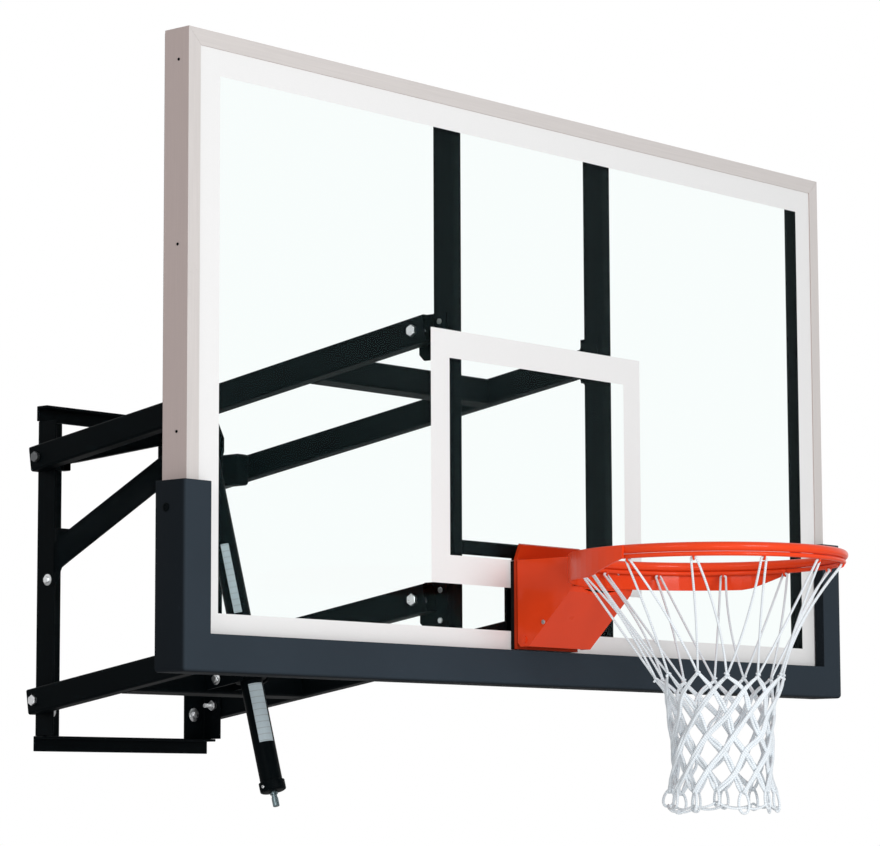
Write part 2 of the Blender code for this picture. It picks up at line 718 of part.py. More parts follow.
def board_frame(board):
    """Four mitred aluminium rails with a lip that laps the front of the glass."""
    profile = [
        (0.0, -SEAT - LIP_THICKNESS),
        (LIP_WIDTH, -SEAT - LIP_THICKNESS),
        (LIP_WIDTH, -SEAT),
        (FRAME_WEB, -SEAT),
        (FRAME_WEB, FRAME_REAR),
        (0.0, FRAME_REAR),
    ]
    half = BOARD_WIDTH / 2
    mitre = SEAT / 2
    for name, side in SIDES.items():
        low = [Vector((side * (half - s), y, BOARD_BOTTOM + s + mitre)) for s, y in profile]
        high = [Vector((side * (half - s), y, BOARD_TOP - s - mitre)) for s, y in profile]
        piece("board_frame_" + name, loft([low, high]), "aluminium", board)
    for name, edge, inward in (("top", BOARD_TOP, -1), ("bottom", BOARD_BOTTOM, 1)):
        first = [Vector((-half + s + mitre, y, edge + inward * s)) for s, y in profile]
        last = [Vector((half - s - mitre, y, edge + inward * s)) for s, y in profile]
        piece("board_frame_" + name, loft([first, last]), "aluminium", board)


def stud_holes(extra=0.0):
    """Cutters along Y where the four studs pass the glass and the plates beside it."""
    radius = STUD_RADIUS + BOLT_PLAY + extra
    places = [(side * STUD_X, z) for side in (-1, 1) for z in (STUD_Z, LOWER_STUD_Z)]
    return [cylinder("Y", place, radius, -2 * INCH, 2 * INCH, 12) for place in places]


def glass_pane(board):
    margin = FRAME_WEB + SEAT
    half = BOARD_WIDTH / 2 - margin
    pane = box(
        (-half, half), (0.0, GLASS_THICKNESS), (BOARD_BOTTOM + margin, BOARD_TOP - margin)
    )
    glass = piece("glass", pane, "glass", board)
    cut(glass, joined(*stud_holes(GLASS_HOLE_PLAY)))


def steel_frame(board):
    """Steel tubes behind the glass: four round the edge and two upright supports."""
    front = GLASS_THICKNESS + SEAT
    depth = STEEL_REAR - front
    middle = (front + STEEL_REAR) / 2
    margin = FRAME_WEB + SEAT
    edge_x = BOARD_WIDTH / 2 - margin - STEEL_WIDTH / 2
    bottom = BOARD_BOTTOM + margin
    top = BOARD_TOP - margin
    for name, side in SIDES.items():
        tube = square_tube(
            STEEL_WIDTH, depth, STEEL_WALL, "Z", bottom, top, (side * edge_x, middle)
        )
        piece("steel_rail_" + name, tube, "black_steel", board, smooth=True)
    reach = edge_x - STEEL_WIDTH / 2 - SEAT
    for name, height in (("top", top - STEEL_WIDTH / 2), ("bottom", bottom + STEEL_WIDTH / 2)):
        tube = square_tube(depth, STEEL_WIDTH, STEEL_WALL, "X", -reach, reach, (middle, height))
        piece("steel_rail_" + name, tube, "black_steel", board, smooth=True)
    foot = bottom + STEEL_WIDTH + SEAT
    head = top - STEEL_WIDTH - SEAT
    for name, side in SIDES.items():
        tube = square_tube(
            SUPPORT_WIDTH, depth, STEEL_WALL, "Z", foot, head, (side * SUPPORT_X, middle)
        )
        piece("board_support_" + name, tube, "black_steel", board, smooth=True)


def board_brackets(board):
    """Bent plates round the supports, with an ear at the side that holds the pivot bolt."""
    inner = SUPPORT_X - SUPPORT_WIDTH / 2 - SEAT
    outer = SUPPORT_OUTER_X + SEAT
    rear = STEEL_REAR + SEAT
    plate = BRACKET_THICKNESS
    outline = [
        (outer + plate, BRACKET_FRONT),
        (outer + plate, BRACKET_REAR),
        (outer, BRACKET_REAR),
        (outer, rear + BRACKET_BACK),
        (inner - plate, rear + BRACKET_BACK),
        (inner - plate, BRACKET_FRONT),
        (inner, BRACKET_FRONT),
        (inner, rear),
        (outer, rear),
        (outer, BRACKET_FRONT),
    ]
    for level, height in PIVOT_HEIGHTS.items():
        low = height - BRACKET_BELOW
        high = height + BRACKET_ABOVE
        for name, side in SIDES.items():
            bent = prism([(side * x, y) for x, y in outline], "Z", low, high)
            bracket = piece(f"board_bracket_{level}_{name}", bent, "black_steel", board)
            for corner, up in ((low, -1), (high, 1)):
                wedge = [
                    (BRACKET_REAR - BRACKET_CHAMFER, corner + up * INCH),
                    (BRACKET_REAR - BRACKET_CHAMFER, corner),
                    (BRACKET_REAR, corner - up * BRACKET_CHAMFER),
                    (BRACKET_REAR + INCH, corner - up * BRACKET_CHAMFER),
                    (BRACKET_REAR + INCH, corner + up * INCH),
                ]
                faces = sorted((side * (outer - INCH), side * (outer + INCH)))
                cut(bracket, prism(wedge, "X", *faces))
            cut(bracket, bolt_hole((PIVOT_BEHIND_GLASS, height)))


def board_pivot_bolts(board):
    inner = SUPPORT_OUTER_X + SEAT
    for level, height in PIVOT_HEIGHTS.items():
        for name, side in SIDES.items():
            bolt_name = f"board_pivot_bolt_{level}_{name}"
            centre = (PIVOT_BEHIND_GLASS, height)
            cross_bolt(bolt_name, side, centre, ARM_OUTER_X, inner, board)


def edge_pad(board):
    """A foam channel that laps the front and the outside of the board's lower edge."""
    play = 2 * SEAT
    front = -SEAT - LIP_THICKNESS - play
    profile = [
        (-PAD_COVER, front),
        (-PAD_COVER, -PAD_FRONT),
        (PAD_SIDE, -PAD_FRONT),
        (PAD_SIDE, PAD_REAR),
        (play, PAD_REAR),
        (play, front),
    ]
    half = BOARD_WIDTH / 2
    ways = [
        [Vector((-half - s, y, PAD_LEG_TOP)) for s, y in profile],
        [Vector((-half - s, y, BOARD_BOTTOM - s)) for s, y in profile],
        [Vector((half + s, y, BOARD_BOTTOM - s)) for s, y in profile],
        [Vector((half + s, y, PAD_LEG_TOP)) for s, y in profile],
    ]
    mesh = loft(ways)
    weights = mesh.edges.layers.float.new("bevel_weight_edge")
    for edge in mesh.edges:
        ends = [vertex.co for vertex in edge.verts]
        at_front = all(abs(point.y + PAD_FRONT) < SEAT for point in ends)
        outside = all(
            abs(point.x) > half + PAD_SIDE - SEAT or point.z < BOARD_BOTTOM - PAD_SIDE + SEAT
            for point in ends
        )
        edge[weights] = 1.0 if at_front or outside else 0.0
    pad = piece("edge_pad", mesh, "pad", board)
    step = pad.modifiers.new("round_edges", "BEVEL")
    step.width = PAD_ROUNDING
    step.segments = 3
    step.limit_method = "WEIGHT"


# Rim base


def rim_backing(board):
    """A plate behind the glass, hung from a bar that spans the two supports."""
    front = GLASS_THICKNESS + SEAT
    rear = front + BACKING_THICKNESS
    reach = SUPPORT_X - SUPPORT_WIDTH / 2 - SEAT
    bar_bottom = BACKING_BAR_TOP - BACKING_BAR_HEIGHT
    shoulder = BASE_HALF_WIDTH - BACKING_INSET
    right = [
        (shoulder, BACKING_BOTTOM),
        (shoulder, BACKING_SHOULDER),
        (BACKING_NECK, BACKING_SHOULDER),
        (BACKING_NECK, bar_bottom),
        (reach, bar_bottom),
        (reach, BACKING_BAR_TOP),
    ]
    outline = right + [(-x, z) for x, z in reversed(right)]
    backing = piece("rim_backing_plate", prism(outline, "Y", front, rear), "black_steel", board)
    cut(backing, joined(*stud_holes()))


def rim_gasket(board):
    half = BASE_HALF_WIDTH - GASKET_INSET
    slab = box((-half, half), (-SEAT - GASKET, -SEAT), (MOUNT_BOTTOM, BASE_TOP - GASKET_DROP))
    gasket = piece("rim_gasket", slab, "rubber", board)
    cut(gasket, joined(*stud_holes()))


def rim_mount_plate(board):
    """The fixed plate: a top lip bent forward, two hinge ears and two welded lower studs."""
    rear = -SEAT - GASKET - SEAT
    front = -MOUNT_FRONT
    lip_foot = BASE_TOP + MOUNT_LIP_FOOT
    half = BASE_HALF_WIDTH - MOUNT_INSET
    outline = [
        (rear, MOUNT_BOTTOM),
        (rear, lip_foot),
        (rear - MOUNT_LIP_LEAN, MOUNT_LIP_TOP),
        (front - MOUNT_LIP_LEAN, MOUNT_LIP_TOP - MOUNT_LIP_SLANT),
        (front, lip_foot),
        (front, MOUNT_BOTTOM),
    ]
    plate = piece("rim_mount_plate", prism(outline, "X", -half, half), "orange", board)
    ear = [(rear, HINGE_Z + EAR_RADIUS + EAR_ROOT)]
    for step in range(6):
        angle = math.radians(100 + 170 * step / 5)
        y = -HINGE_OUT + EAR_RADIUS * math.cos(angle)
        ear.append((y, HINGE_Z + EAR_RADIUS * math.sin(angle)))
    ear.append((rear, HINGE_Z - EAR_RADIUS))
    for side in SIDES.values():
        faces = sorted((side * EAR_X, side * (EAR_X - BASE_PLATE)))
        add(plate, prism(ear, "X", *faces))
        centre = (side * STUD_X, LOWER_STUD_Z)
        add(plate, cylinder("Y", centre, STUD_RADIUS, rear - MOUNT_PLATE / 2, INCH, 12))
    hinge = (-HINGE_OUT, HINGE_Z)
    reach = BASE_HALF_WIDTH
    cut(plate, cylinder("X", hinge, HINGE_PIN_RADIUS + BOLT_PLAY, -reach, reach, 12))
    upper = [(side * STUD_X, STUD_Z) for side in SIDES.values()]
    deep = -MOUNT_FRONT - INCH
    holes = [cylinder("Y", place, STUD_RADIUS + BOLT_PLAY, deep, 0.0, 12) for place in upper]
    cut(plate, joined(*holes))


def rim_hinge_pin(board):
    reach = BASE_HALF_WIDTH + SEAT
    head = HINGE_PIN_RADIUS * PIN_HEAD_RATIO
    thickness = HINGE_PIN_HEAD
    profile = [
        (head, -reach - thickness),
        (head, -reach),
        (HINGE_PIN_RADIUS, -reach),
        (HINGE_PIN_RADIUS, reach),
        (head, reach),
        (head, reach + thickness),
    ]
    pin = turned(profile, "X", (-HINGE_OUT, HINGE_Z), 12, bored=False)
    piece("rim_hinge_pin", pin, "zinc", board, smooth=True)


def spring_studs(board):
    """Long bolts through the glass. The springs sit between their heads and the base."""
    backing_rear = GLASS_THICKNESS + SEAT + BACKING_THICKNESS + SEAT
    for name, side in SIDES.items():
        centre = (side * STUD_X, STUD_Z)
        wide = hexagon(STUD_HEAD_RADIUS, 12, centre)
        shaft = circle(STUD_RADIUS, 12, centre)
        nut = hexagon(STUD_NUT_RADIUS, 12, centre)
        ways = [
            (-STUD_HEAD_OUT, wide),
            (-STUD_HEAD_OUT + STUD_HEAD, wide),
            (-STUD_HEAD_OUT + STUD_HEAD, shaft),
            (backing_rear, shaft),
            (backing_rear, nut),
            (backing_rear + STUD_NUT, nut),
            (backing_rear + STUD_NUT, shaft),
            (backing_rear + STUD_NUT + STUD_TAIL, shaft),
        ]
        rings = [[at("Y", a, b, station) for a, b in outline] for station, outline in ways]
        piece("spring_stud_" + name, loft(rings), "zinc", board, smooth=True)


def rim_springs(board):
    """Open coils round the studs, from the base's inner plate to the stud heads."""
    start = -SPRING_PLATE_OUT - BASE_PLATE - SEAT - SPRING_WIRE
    end = -STUD_HEAD_OUT + STUD_HEAD + SEAT + SPRING_WIRE
    steps = SPRING_TURNS * 10
    for name, side in SIDES.items():
        points = []
        for step in range(steps + 1):
            turn = 2 * math.pi * step / 10
            points.append(
                Vector(
                    (
                        side * STUD_X + SPRING_RADIUS * math.cos(turn),
                        start + (end - start) * step / steps,
                        STUD_Z + SPRING_RADIUS * math.sin(turn),
                    )
                )
            )
        piece("rim_spring_" + name, cord(points, SPRING_WIRE), "zinc", board, smooth=True)
    least = min((points[k] - points[k + 10]).length for k in range(steps - 9)) - 2 * SPRING_WIRE
    print(f"least gap between the turns of a rim spring: {1000 * least:.2f} mm")


# Rim, drawn in the board's frame and carried by the hinge


def ring_cutter(radius):
    """A cylinder round the ring's axis, whose flats lie at the radius, for what meets the ring."""
    sides = 96
    corner = radius / math.cos(math.pi / sides)
    return cylinder("Z", (0.0, -RING_OUT), corner, BASE_BOTTOM - INCH, BASE_TOP + INCH, sides)


def rim_bracket(rim):
    """The moving base: side plates, top, sloping front and a forked plate for the springs."""
    slope_front = BASE_FRONT - BASE_SLOPE_INSET
    slope = BASE_SLOPE_TOP - slope_front
    outline = [
        (-BASE_REAR, BASE_TOP),
        (-BASE_FRONT, BASE_TOP),
        (-BASE_FRONT, BASE_SLOPE_TOP + BASE_SILL),
        (-slope_front, BASE_SLOPE_TOP),
        (slope - BASE_BOTTOM, BASE_BOTTOM),
        (-BASE_REAR - BASE_TOE.x, BASE_BOTTOM),
        (-BASE_REAR, BASE_BOTTOM + BASE_TOE.y),
    ]
    shell = prism(outline, "X", -BASE_HALF_WIDTH, BASE_HALF_WIDTH)
    bracket = piece("rim_bracket", shell, "orange", rim)
    roof = BASE_TOP - BASE_PLATE
    inside = slope + BASE_PLATE * math.sqrt(2)
    beyond = BASE_FRONT + INCH
    sill = BASE_SLOPE_TOP + BASE_SILL
    floor = BASE_BOTTOM - INCH  # the cutter runs out below
    hollow = [
        (0.0, roof),
        (-beyond, roof),
        (-beyond, sill),
        (inside - sill, sill),
        (inside - floor, floor),
        (0.0, floor),
    ]
    within = BASE_HALF_WIDTH - BASE_PLATE
    cut(bracket, prism(hollow, "X", -within, within))
    saddle_y = (-BASE_FRONT - SADDLE_DEPTH, -BASE_FRONT + SADDLE_DEPTH)
    saddle_z = (BRACE_BOTTOM - BASE_PLATE, BASE_TOP)
    add(bracket, box((-SADDLE_HALF_WIDTH, SADDLE_HALF_WIDTH), saddle_y, saddle_z))
    cut(bracket, ring_cutter(BRACE_OUTER + SEAT))
    fork_y = (-SPRING_PLATE_OUT - BASE_PLATE, -SPRING_PLATE_OUT)
    fork_bottom = STUD_Z - FORK_BELOW
    fork_x = EAR_X - FORK_INSET
    fork = box((-fork_x, fork_x), fork_y, (fork_bottom, roof + BASE_PLATE / 2))
    add(bracket, fork)
    slot_half = STUD_RADIUS + FORK_SLOT_PLAY
    for side in SIDES.values():
        x = (side * STUD_X - slot_half, side * STUD_X + slot_half)
        y = (fork_y[0] - BASE_PLATE / 2, fork_y[1] + BASE_PLATE / 2)
        cut(bracket, box(x, y, (fork_bottom - BASE_PLATE, STUD_Z + FORK_SLOT_TOP)))
    reach = BASE_HALF_WIDTH + INCH
    hinge = (-HINGE_OUT, HINGE_Z)
    cut(bracket, cylinder("X", hinge, HINGE_PIN_RADIUS + BOLT_PLAY, -reach, reach, 12))


def rim_ring(rim):
    centre = Vector((0.0, -RING_OUT, RING_LEVEL))
    piece("rim_ring", hoop(centre, RING_RADIUS, RING_TUBE_RADIUS, 56, 10), "orange", rim, smooth=True)


def hoop(centre, radius, tube_radius, steps, sides):
    rings = []
    for step in range(steps):
        angle = 2 * math.pi * step / steps
        outward = Vector((math.cos(angle), math.sin(angle), 0.0))
        rings.append(
            [
                centre + outward * (radius + a) + Vector((0.0, 0.0, b))
                for a, b in circle(tube_radius, sides)
            ]
        )
    return loft(rings, closed=True)


def net_rod(rim):
    """A thin rod welded under the ring, with twelve hooks that open inward."""
    centre = Vector((0.0, -RING_OUT, NET_ROD_LEVEL))
    rod = hoop(centre, RING_RADIUS, NET_ROD_RADIUS, 48, 8)
    hooks = []
    for hook in range(HOOKS):
        angle = 2 * math.pi * hook / HOOKS
        outward = Vector((math.cos(angle), math.sin(angle), 0.0))
        path = [(0.0, -NET_ROD_RADIUS / 2), (0.0, -HOOK_LEG)]
        for step in range(1, 6):
            bend = math.pi * step / 5
            path.append(
                (
                    -HOOK_BEND + HOOK_BEND * math.cos(bend),
                    -HOOK_LEG - HOOK_BEND * math.sin(bend),
                )
            )
        path.append((-2 * HOOK_BEND, -HOOK_LEG + HOOK_TIP))
        points = [
            centre + outward * (RING_RADIUS + across) + Vector((0.0, 0.0, drop))
            for across, drop in path
        ]
        hooks.append(cord(points, HOOK_WIRE))
    made = piece("net_rod", rod, "orange", rim, smooth=True)
    add(made, joined(*hooks))


def rim_brace(rim):
    """A flat strip bent round the rear half of the ring, tapering at both ends."""
    centre = Vector((0.0, -RING_OUT, 0.0))
    rings = []
    steps = 40
    for step in range(steps + 1):
        angle = math.pi * step / steps
        outward = Vector((math.cos(angle), math.sin(angle), 0.0))
        share = min(angle / BRACE_TAPER, (math.pi - angle) / BRACE_TAPER, 1.0)
        full = BRACE_TOP - BRACE_BOTTOM
        height = BRACE_END_HEIGHT + (full - BRACE_END_HEIGHT) * share
        rings.append(
            [
                centre + outward * radius + Vector((0.0, 0.0, level))
                for radius, level in (
                    (BRACE_INNER, BRACE_TOP - height),
                    (BRACE_OUTER, BRACE_TOP - height),
                    (BRACE_OUTER, BRACE_TOP),
                    (BRACE_INNER, BRACE_TOP),
                )
            ]
        )
    piece("rim_brace", loft(rings), "orange", rim, smooth=True)


def net_radius(share):
    """The net's radius from its first knots, at share 0, to its hem, at share 1."""
    if share < NET_WAIST_AT:
        rise = (1 - share / NET_WAIST_AT) ** 2
        return NET_WAIST_RADIUS + (NET_SHOULDER_RADIUS - NET_WAIST_RADIUS) * rise
    rise = ((share - NET_WAIST_AT) / (1 - NET_WAIST_AT)) ** 2
    return NET_WAIST_RADIUS + (NET_HEM_RADIUS - NET_WAIST_RADIUS) * rise


def net(rim):
    """Twelve loops on the hooks, long strands to the first knots, then a diamond mesh."""
    centre = Vector((0.0, -RING_OUT, 0.0))
    loop_radius = RING_RADIUS - HOOK_BEND
    drop = HOOK_BEND - HOOK_WIRE - NET_CORD / 2 - SEAT
    loop_z = NET_ROD_LEVEL - HOOK_LEG - drop
    loop_half = (HOOK_WIRE + NET_CORD / 2 + NET_LOOP_PLAY) / loop_radius
    pitch = 2 * math.pi / HOOKS
    mesh = bmesh.new()

    def knot(radius, angle, level):
        place = Vector((radius * math.cos(angle), radius * math.sin(angle), level))
        return mesh.verts.new(centre + place)

    tops = []
    for hook in range(HOOKS):
        angle = pitch * hook
        tops.append([knot(loop_radius, angle + turn, loop_z) for turn in (-loop_half, loop_half)])
    rows = []
    for row in range(NET_ROWS):
        share = row / (NET_ROWS - 1)
        level = NET_FIRST_KNOTS + (NET_BOTTOM - NET_FIRST_KNOTS) * share
        offset = 0.5 if row % 2 == 0 else 0.0
        rows.append(
            [knot(net_radius(share), pitch * (k + offset), level) for k in range(HOOKS)]
        )
    for k in range(HOOKS):
        mesh.faces.new((*tops[k], rows[0][k], rows[1][k], rows[0][k - 1]))
    for row in range(NET_ROWS - 2):
        for k in range(HOOKS):
            side = (k + 1) % HOOKS if row % 2 == 0 else k
            first, second = rows[row + 1][side - 1], rows[row + 1][side]
            low = rows[row + 2][k]
            mesh.faces.new((rows[row][k], first, low, second))
    bmesh.ops.recalc_face_normals(mesh, faces=mesh.faces)
    made = piece("net", mesh, "cord", rim)
    strands = made.modifiers.new("strands", "WIREFRAME")
    strands.thickness = NET_CORD
    strands.use_boundary = True
    strands.use_replace = True
    strands.use_even_offset = False


# Jack, drawn from its pin at the origin and running down -Z


def outer_tube(jack):
    """The tube that hangs from the hanger's pin by a flat eye."""
    bore = INNER_TUBE_RADIUS + SLIDE_PLAY
    profile = [
        (OUTER_TUBE_RADIUS, -OUTER_TUBE_TOP),
        (OUTER_TUBE_RADIUS, -OUTER_TUBE_END),
        (bore, -OUTER_TUBE_END),
        (bore, -OUTER_TUBE_TOP),
    ]
    tube = piece("jack_outer_tube", turned(profile), "black_steel", jack, smooth=True)
    plug_end = -OUTER_TUBE_TOP - PLUG_LENGTH
    eye_radius = JACK_PIN_RADIUS + EYE_WALL
    eye_foot = plug_end + 0.25 * PLUG_LENGTH
    eye = [(eye_radius, eye_foot)]
    for step in range(9):
        angle = math.pi * step / 8
        eye.append((eye_radius * math.cos(angle), eye_radius * math.sin(angle)))
    eye.append((-eye_radius, eye_foot))
    plug_top = -OUTER_TUBE_TOP + PLUG_BITE
    plug = cylinder("Z", (0.0, 0.0), bore + PLUG_BITE, plug_end, plug_top, 24)
    add(tube, plug)
    add(tube, prism(eye, "X", -EYE_HALF_WIDTH, EYE_HALF_WIDTH))
    reach = OUTER_TUBE_RADIUS + INCH
    cut(tube, cylinder("X", (0.0, 0.0), JACK_PIN_RADIUS + BOLT_PLAY, -reach, reach))


def push_tube(jack):
    """The tube that carries the drive nut down inside the lower tube."""
    top = -OUTER_TUBE_TOP - PLUG_LENGTH - SEAT
    bore = SCREW_RADIUS + 2 * SLIDE_PLAY
    profile = [
        (PUSH_TUBE_RADIUS, top),
        (PUSH_TUBE_RADIUS, -PUSH_TUBE_END),
        (NUT_RADIUS, -PUSH_TUBE_END),
        (NUT_RADIUS, -PUSH_TUBE_END - NUT_LENGTH),
        (bore, -PUSH_TUBE_END - NUT_LENGTH),
        (bore, top),
    ]
    piece("jack_drive_nut", turned(profile, sides=16), "zinc", jack, smooth=True)


def inner_tube(jack):
    bore = INNER_TUBE_RADIUS - INNER_TUBE_WALL
    profile = [
        (INNER_TUBE_RADIUS, -INNER_TUBE_TOP),
        (INNER_TUBE_RADIUS, -CAP_TOP - CAP_SOCKET),
        (bore, -CAP_TOP - CAP_SOCKET),
        (bore, -INNER_TUBE_TOP),
    ]
    piece("jack_inner_tube", turned(profile), "black_steel", jack, smooth=True)


def trunnion_collar(jack):
    """A clamp round the lower tube whose pins end just short of the lugs."""
    bore = INNER_TUBE_RADIUS + SEAT
    half = COLLAR_HEIGHT / 2
    profile = [
        (COLLAR_RADIUS, -JACK_LENGTH + half),
        (COLLAR_RADIUS, -JACK_LENGTH - half),
        (bore, -JACK_LENGTH - half),
        (bore, -JACK_LENGTH + half),
    ]
    collar = piece("jack_trunnion", turned(profile), "black_steel", jack, smooth=True)
    for side in SIDES.values():
        faces = sorted((side * (COLLAR_RADIUS - COLLAR_BITE), side * (LUG_X - SEAT)))
        add(collar, cylinder("X", (0.0, -JACK_LENGTH), TRUNNION_PIN_RADIUS, *faces))


def jack_cap(jack):
    """The bearing cap: a cup over the lower tube's end with a bore for the screw."""
    floor = CAP_TOP + CAP_SOCKET + SEAT
    end = CAP_TOP + CAP_LENGTH
    bore = CRANK_STUB_RADIUS + SLIDE_PLAY
    socket = INNER_TUBE_RADIUS + SEAT
    profile = [
        (CAP_RADIUS, -CAP_TOP),
        (CAP_RADIUS, -end + CAP_CHAMFER),
        (CAP_RADIUS - CAP_CHAMFER, -end),
        (bore, -end),
        (bore, -floor),
        (socket, -floor),
        (socket, -CAP_TOP),
    ]
    piece("jack_cap", turned(profile), "black_steel", jack, smooth=True)


def crank_screw(jack):
    """The screw with its crank stub, turned by hand from below."""
    end = CAP_TOP + CAP_LENGTH
    shoulder = CAP_TOP + CAP_SOCKET
    profile = [
        (SCREW_RADIUS, -SCREW_TOP),
        (SCREW_RADIUS, -shoulder),
        (CRANK_STUB_RADIUS, -shoulder),
        (CRANK_STUB_RADIUS, -end - CRANK_STUB + CRANK_STUB_CHAMFER),
        (CRANK_STUB_RADIUS - CRANK_STUB_CHAMFER, -end - CRANK_STUB),
    ]
    piece("crank_screw", turned(profile, sides=16, bored=False), "zinc", jack, smooth=True)


def build():
    clear_scene()
    wall_rails()
    wall_bars()
    wall_pivot_bolts()
    hanger_struts()
    hanger_ties()
    jack_hanger()
    jack_pin()
    upper_arms()
    lower_arms()
    pivot = empty("board_pivot", (0.0, BOARD_PIVOT_Y, BOARD_PIVOT_Z))
    offset = Vector((0.0, -PIVOT_BEHIND_GLASS, -PIVOT_HEIGHTS["upper"]))
    board = empty("board_frame_origin", offset, pivot)
    board_frame(board)
    glass_pane(board)
    steel_frame(board)
    board_brackets(board)
    board_pivot_bolts(board)
    edge_pad(board)
    rim_backing(board)
    rim_gasket(board)
    rim_mount_plate(board)
    rim_hinge_pin(board)
    spring_studs(board)
    rim_springs(board)
    hinge_place = Vector((0.0, -HINGE_OUT, HINGE_Z))
    hinge = empty("rim_hinge", hinge_place, board)
    rim = empty("rim_frame_origin", -hinge_place, hinge)
    rim_bracket(rim)
    rim_ring(rim)
    net_rod(rim)
    rim_brace(rim)
    net(rim)
    jack = empty("jack_pin_pivot", (0.0, -JACK_PIN_OUT, JACK_PIN_Z), tilt=-JACK_LEAN)
    outer_tube(jack)
    push_tube(jack)
    slide = empty("jack_slide", (0.0, 0.0, 0.0), jack)
    inner_tube(slide)
    trunnion_collar(slide)
    jack_cap(slide)
    crank_screw(slide)


build()
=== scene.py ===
"""Looks of a wall-mounted basketball hoop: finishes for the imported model, and finer pieces."""

import json
import math
import random

import bmesh
import bpy
from bpy.props import FloatProperty, FloatVectorProperty, IntProperty, PointerProperty
from mathutils import Matrix, Vector


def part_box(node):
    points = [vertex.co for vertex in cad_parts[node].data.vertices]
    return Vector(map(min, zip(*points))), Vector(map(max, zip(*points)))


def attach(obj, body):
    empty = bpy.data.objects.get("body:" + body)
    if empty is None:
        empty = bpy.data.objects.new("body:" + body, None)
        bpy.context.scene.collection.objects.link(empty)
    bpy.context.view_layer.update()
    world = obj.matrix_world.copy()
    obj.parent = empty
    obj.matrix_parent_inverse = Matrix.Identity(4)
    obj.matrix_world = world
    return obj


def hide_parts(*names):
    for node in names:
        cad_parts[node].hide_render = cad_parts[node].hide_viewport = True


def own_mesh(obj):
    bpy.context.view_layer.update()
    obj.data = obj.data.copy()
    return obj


bl_info = {
    "name": "Wall-mounted hoop",
    "version": (1, 0, 0),
    "blender": (4, 5, 0),
    "location": "3D View > Sidebar > Hoop",
    "description": "Finishes and fine pieces of a wall-mounted basketball hoop",
    "category": "Object",
}

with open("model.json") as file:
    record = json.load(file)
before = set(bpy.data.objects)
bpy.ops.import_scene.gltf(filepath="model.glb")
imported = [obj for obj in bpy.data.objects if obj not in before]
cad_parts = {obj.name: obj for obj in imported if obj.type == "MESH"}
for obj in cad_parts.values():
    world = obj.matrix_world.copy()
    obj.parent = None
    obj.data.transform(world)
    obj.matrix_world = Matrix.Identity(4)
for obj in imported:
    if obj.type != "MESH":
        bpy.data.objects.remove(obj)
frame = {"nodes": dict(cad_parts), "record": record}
SLOTS = {entry["node"]: entry["material_slot"] for entry in frame["record"]["subparts"]}
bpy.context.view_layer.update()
INCH = 0.0254
PANE = Vector((0.0, -43.987454, -5.699315)) * INCH  # middle of the clear pane's lower edge
JACK_PIN = Vector((0.0, -9.13, 11.1)) * INCH
JACK_LEAN = math.radians(15.8775)
JACK_RUN = Vector((0.0, -math.sin(JACK_LEAN), -math.cos(JACK_LEAN)))
SIDES = {"left": -1, "right": 1}
STRUT_FOOT = Vector((8.25, -2.2, 2.35)) * INCH
STRUT_HEAD = Vector((1.6, -6.68, 8.9)) * INCH
TIE_FOOT = Vector((8.86, -2.2, 9.6)) * INCH
TIE_HEAD = Vector((1.6, -7.6, 11.6)) * INCH

# The camera, as fitted to the photograph
CAMERA_PLACE = Vector((-4.618, -4.9026, -0.4678))
CAMERA_AZIMUTH = math.radians(48.89)
CAMERA_ELEVATION = math.radians(6.81)
CAMERA_ROLL = math.radians(-0.21)
FOCAL_PIXELS = 3242.0
PICTURE_WIDTH = 880.0
SENSOR_WIDTH = 36.0


# Sizes and colours that a user may change


class HoopPaint(bpy.types.PropertyGroup):
    steel: FloatVectorProperty(
        name="Steel",
        description="Powder coat of the arms",
        subtype="COLOR",
        default=(0.002, 0.0034, 0.0042),
    )
    rim: FloatVectorProperty(
        name="Rim",
        description="Powder coat of the rim",
        subtype="COLOR",
        default=(0.78, 0.053, 0.009),
    )
    pad: FloatVectorProperty(
        name="Pad",
        description="Moulded edge pad",
        subtype="COLOR",
        default=(0.028, 0.038, 0.049),
    )
    aluminium: FloatVectorProperty(
        name="Board frame",
        description="Anodised rails",
        subtype="COLOR",
        default=(0.62, 0.585, 0.57),
    )
    white_print: FloatVectorProperty(
        name="Print",
        description="Border and square on the glass",
        subtype="COLOR",
        default=(0.8, 0.8, 0.8),
    )


class HoopNet(bpy.types.PropertyGroup):
    hooks: IntProperty(name="Hooks", description="Loops round the ring", default=12, min=6, max=16)
    rows: IntProperty(name="Rows", description="Rows of crossings", default=7, min=4, max=12)
    cord: FloatProperty(
        name="Cord",
        description="Radius of one ply of the thick cords",
        default=0.0028,
        unit="LENGTH",
    )
    first_knots: FloatProperty(
        name="First knots",
        description="Height above the pane's edge",
        default=-0.093,
        unit="LENGTH",
    )
    last_knots: FloatProperty(
        name="Last knots",
        description="Height above the pane's edge",
        default=-0.293,
        unit="LENGTH",
    )
    hem_drop: FloatProperty(
        name="Hem loops", description="How far the hem loops hang", default=0.036, unit="LENGTH"
    )
    sway: FloatProperty(
        name="Sway", description="How far the net hangs to one side", default=0.0125, unit="LENGTH"
    )


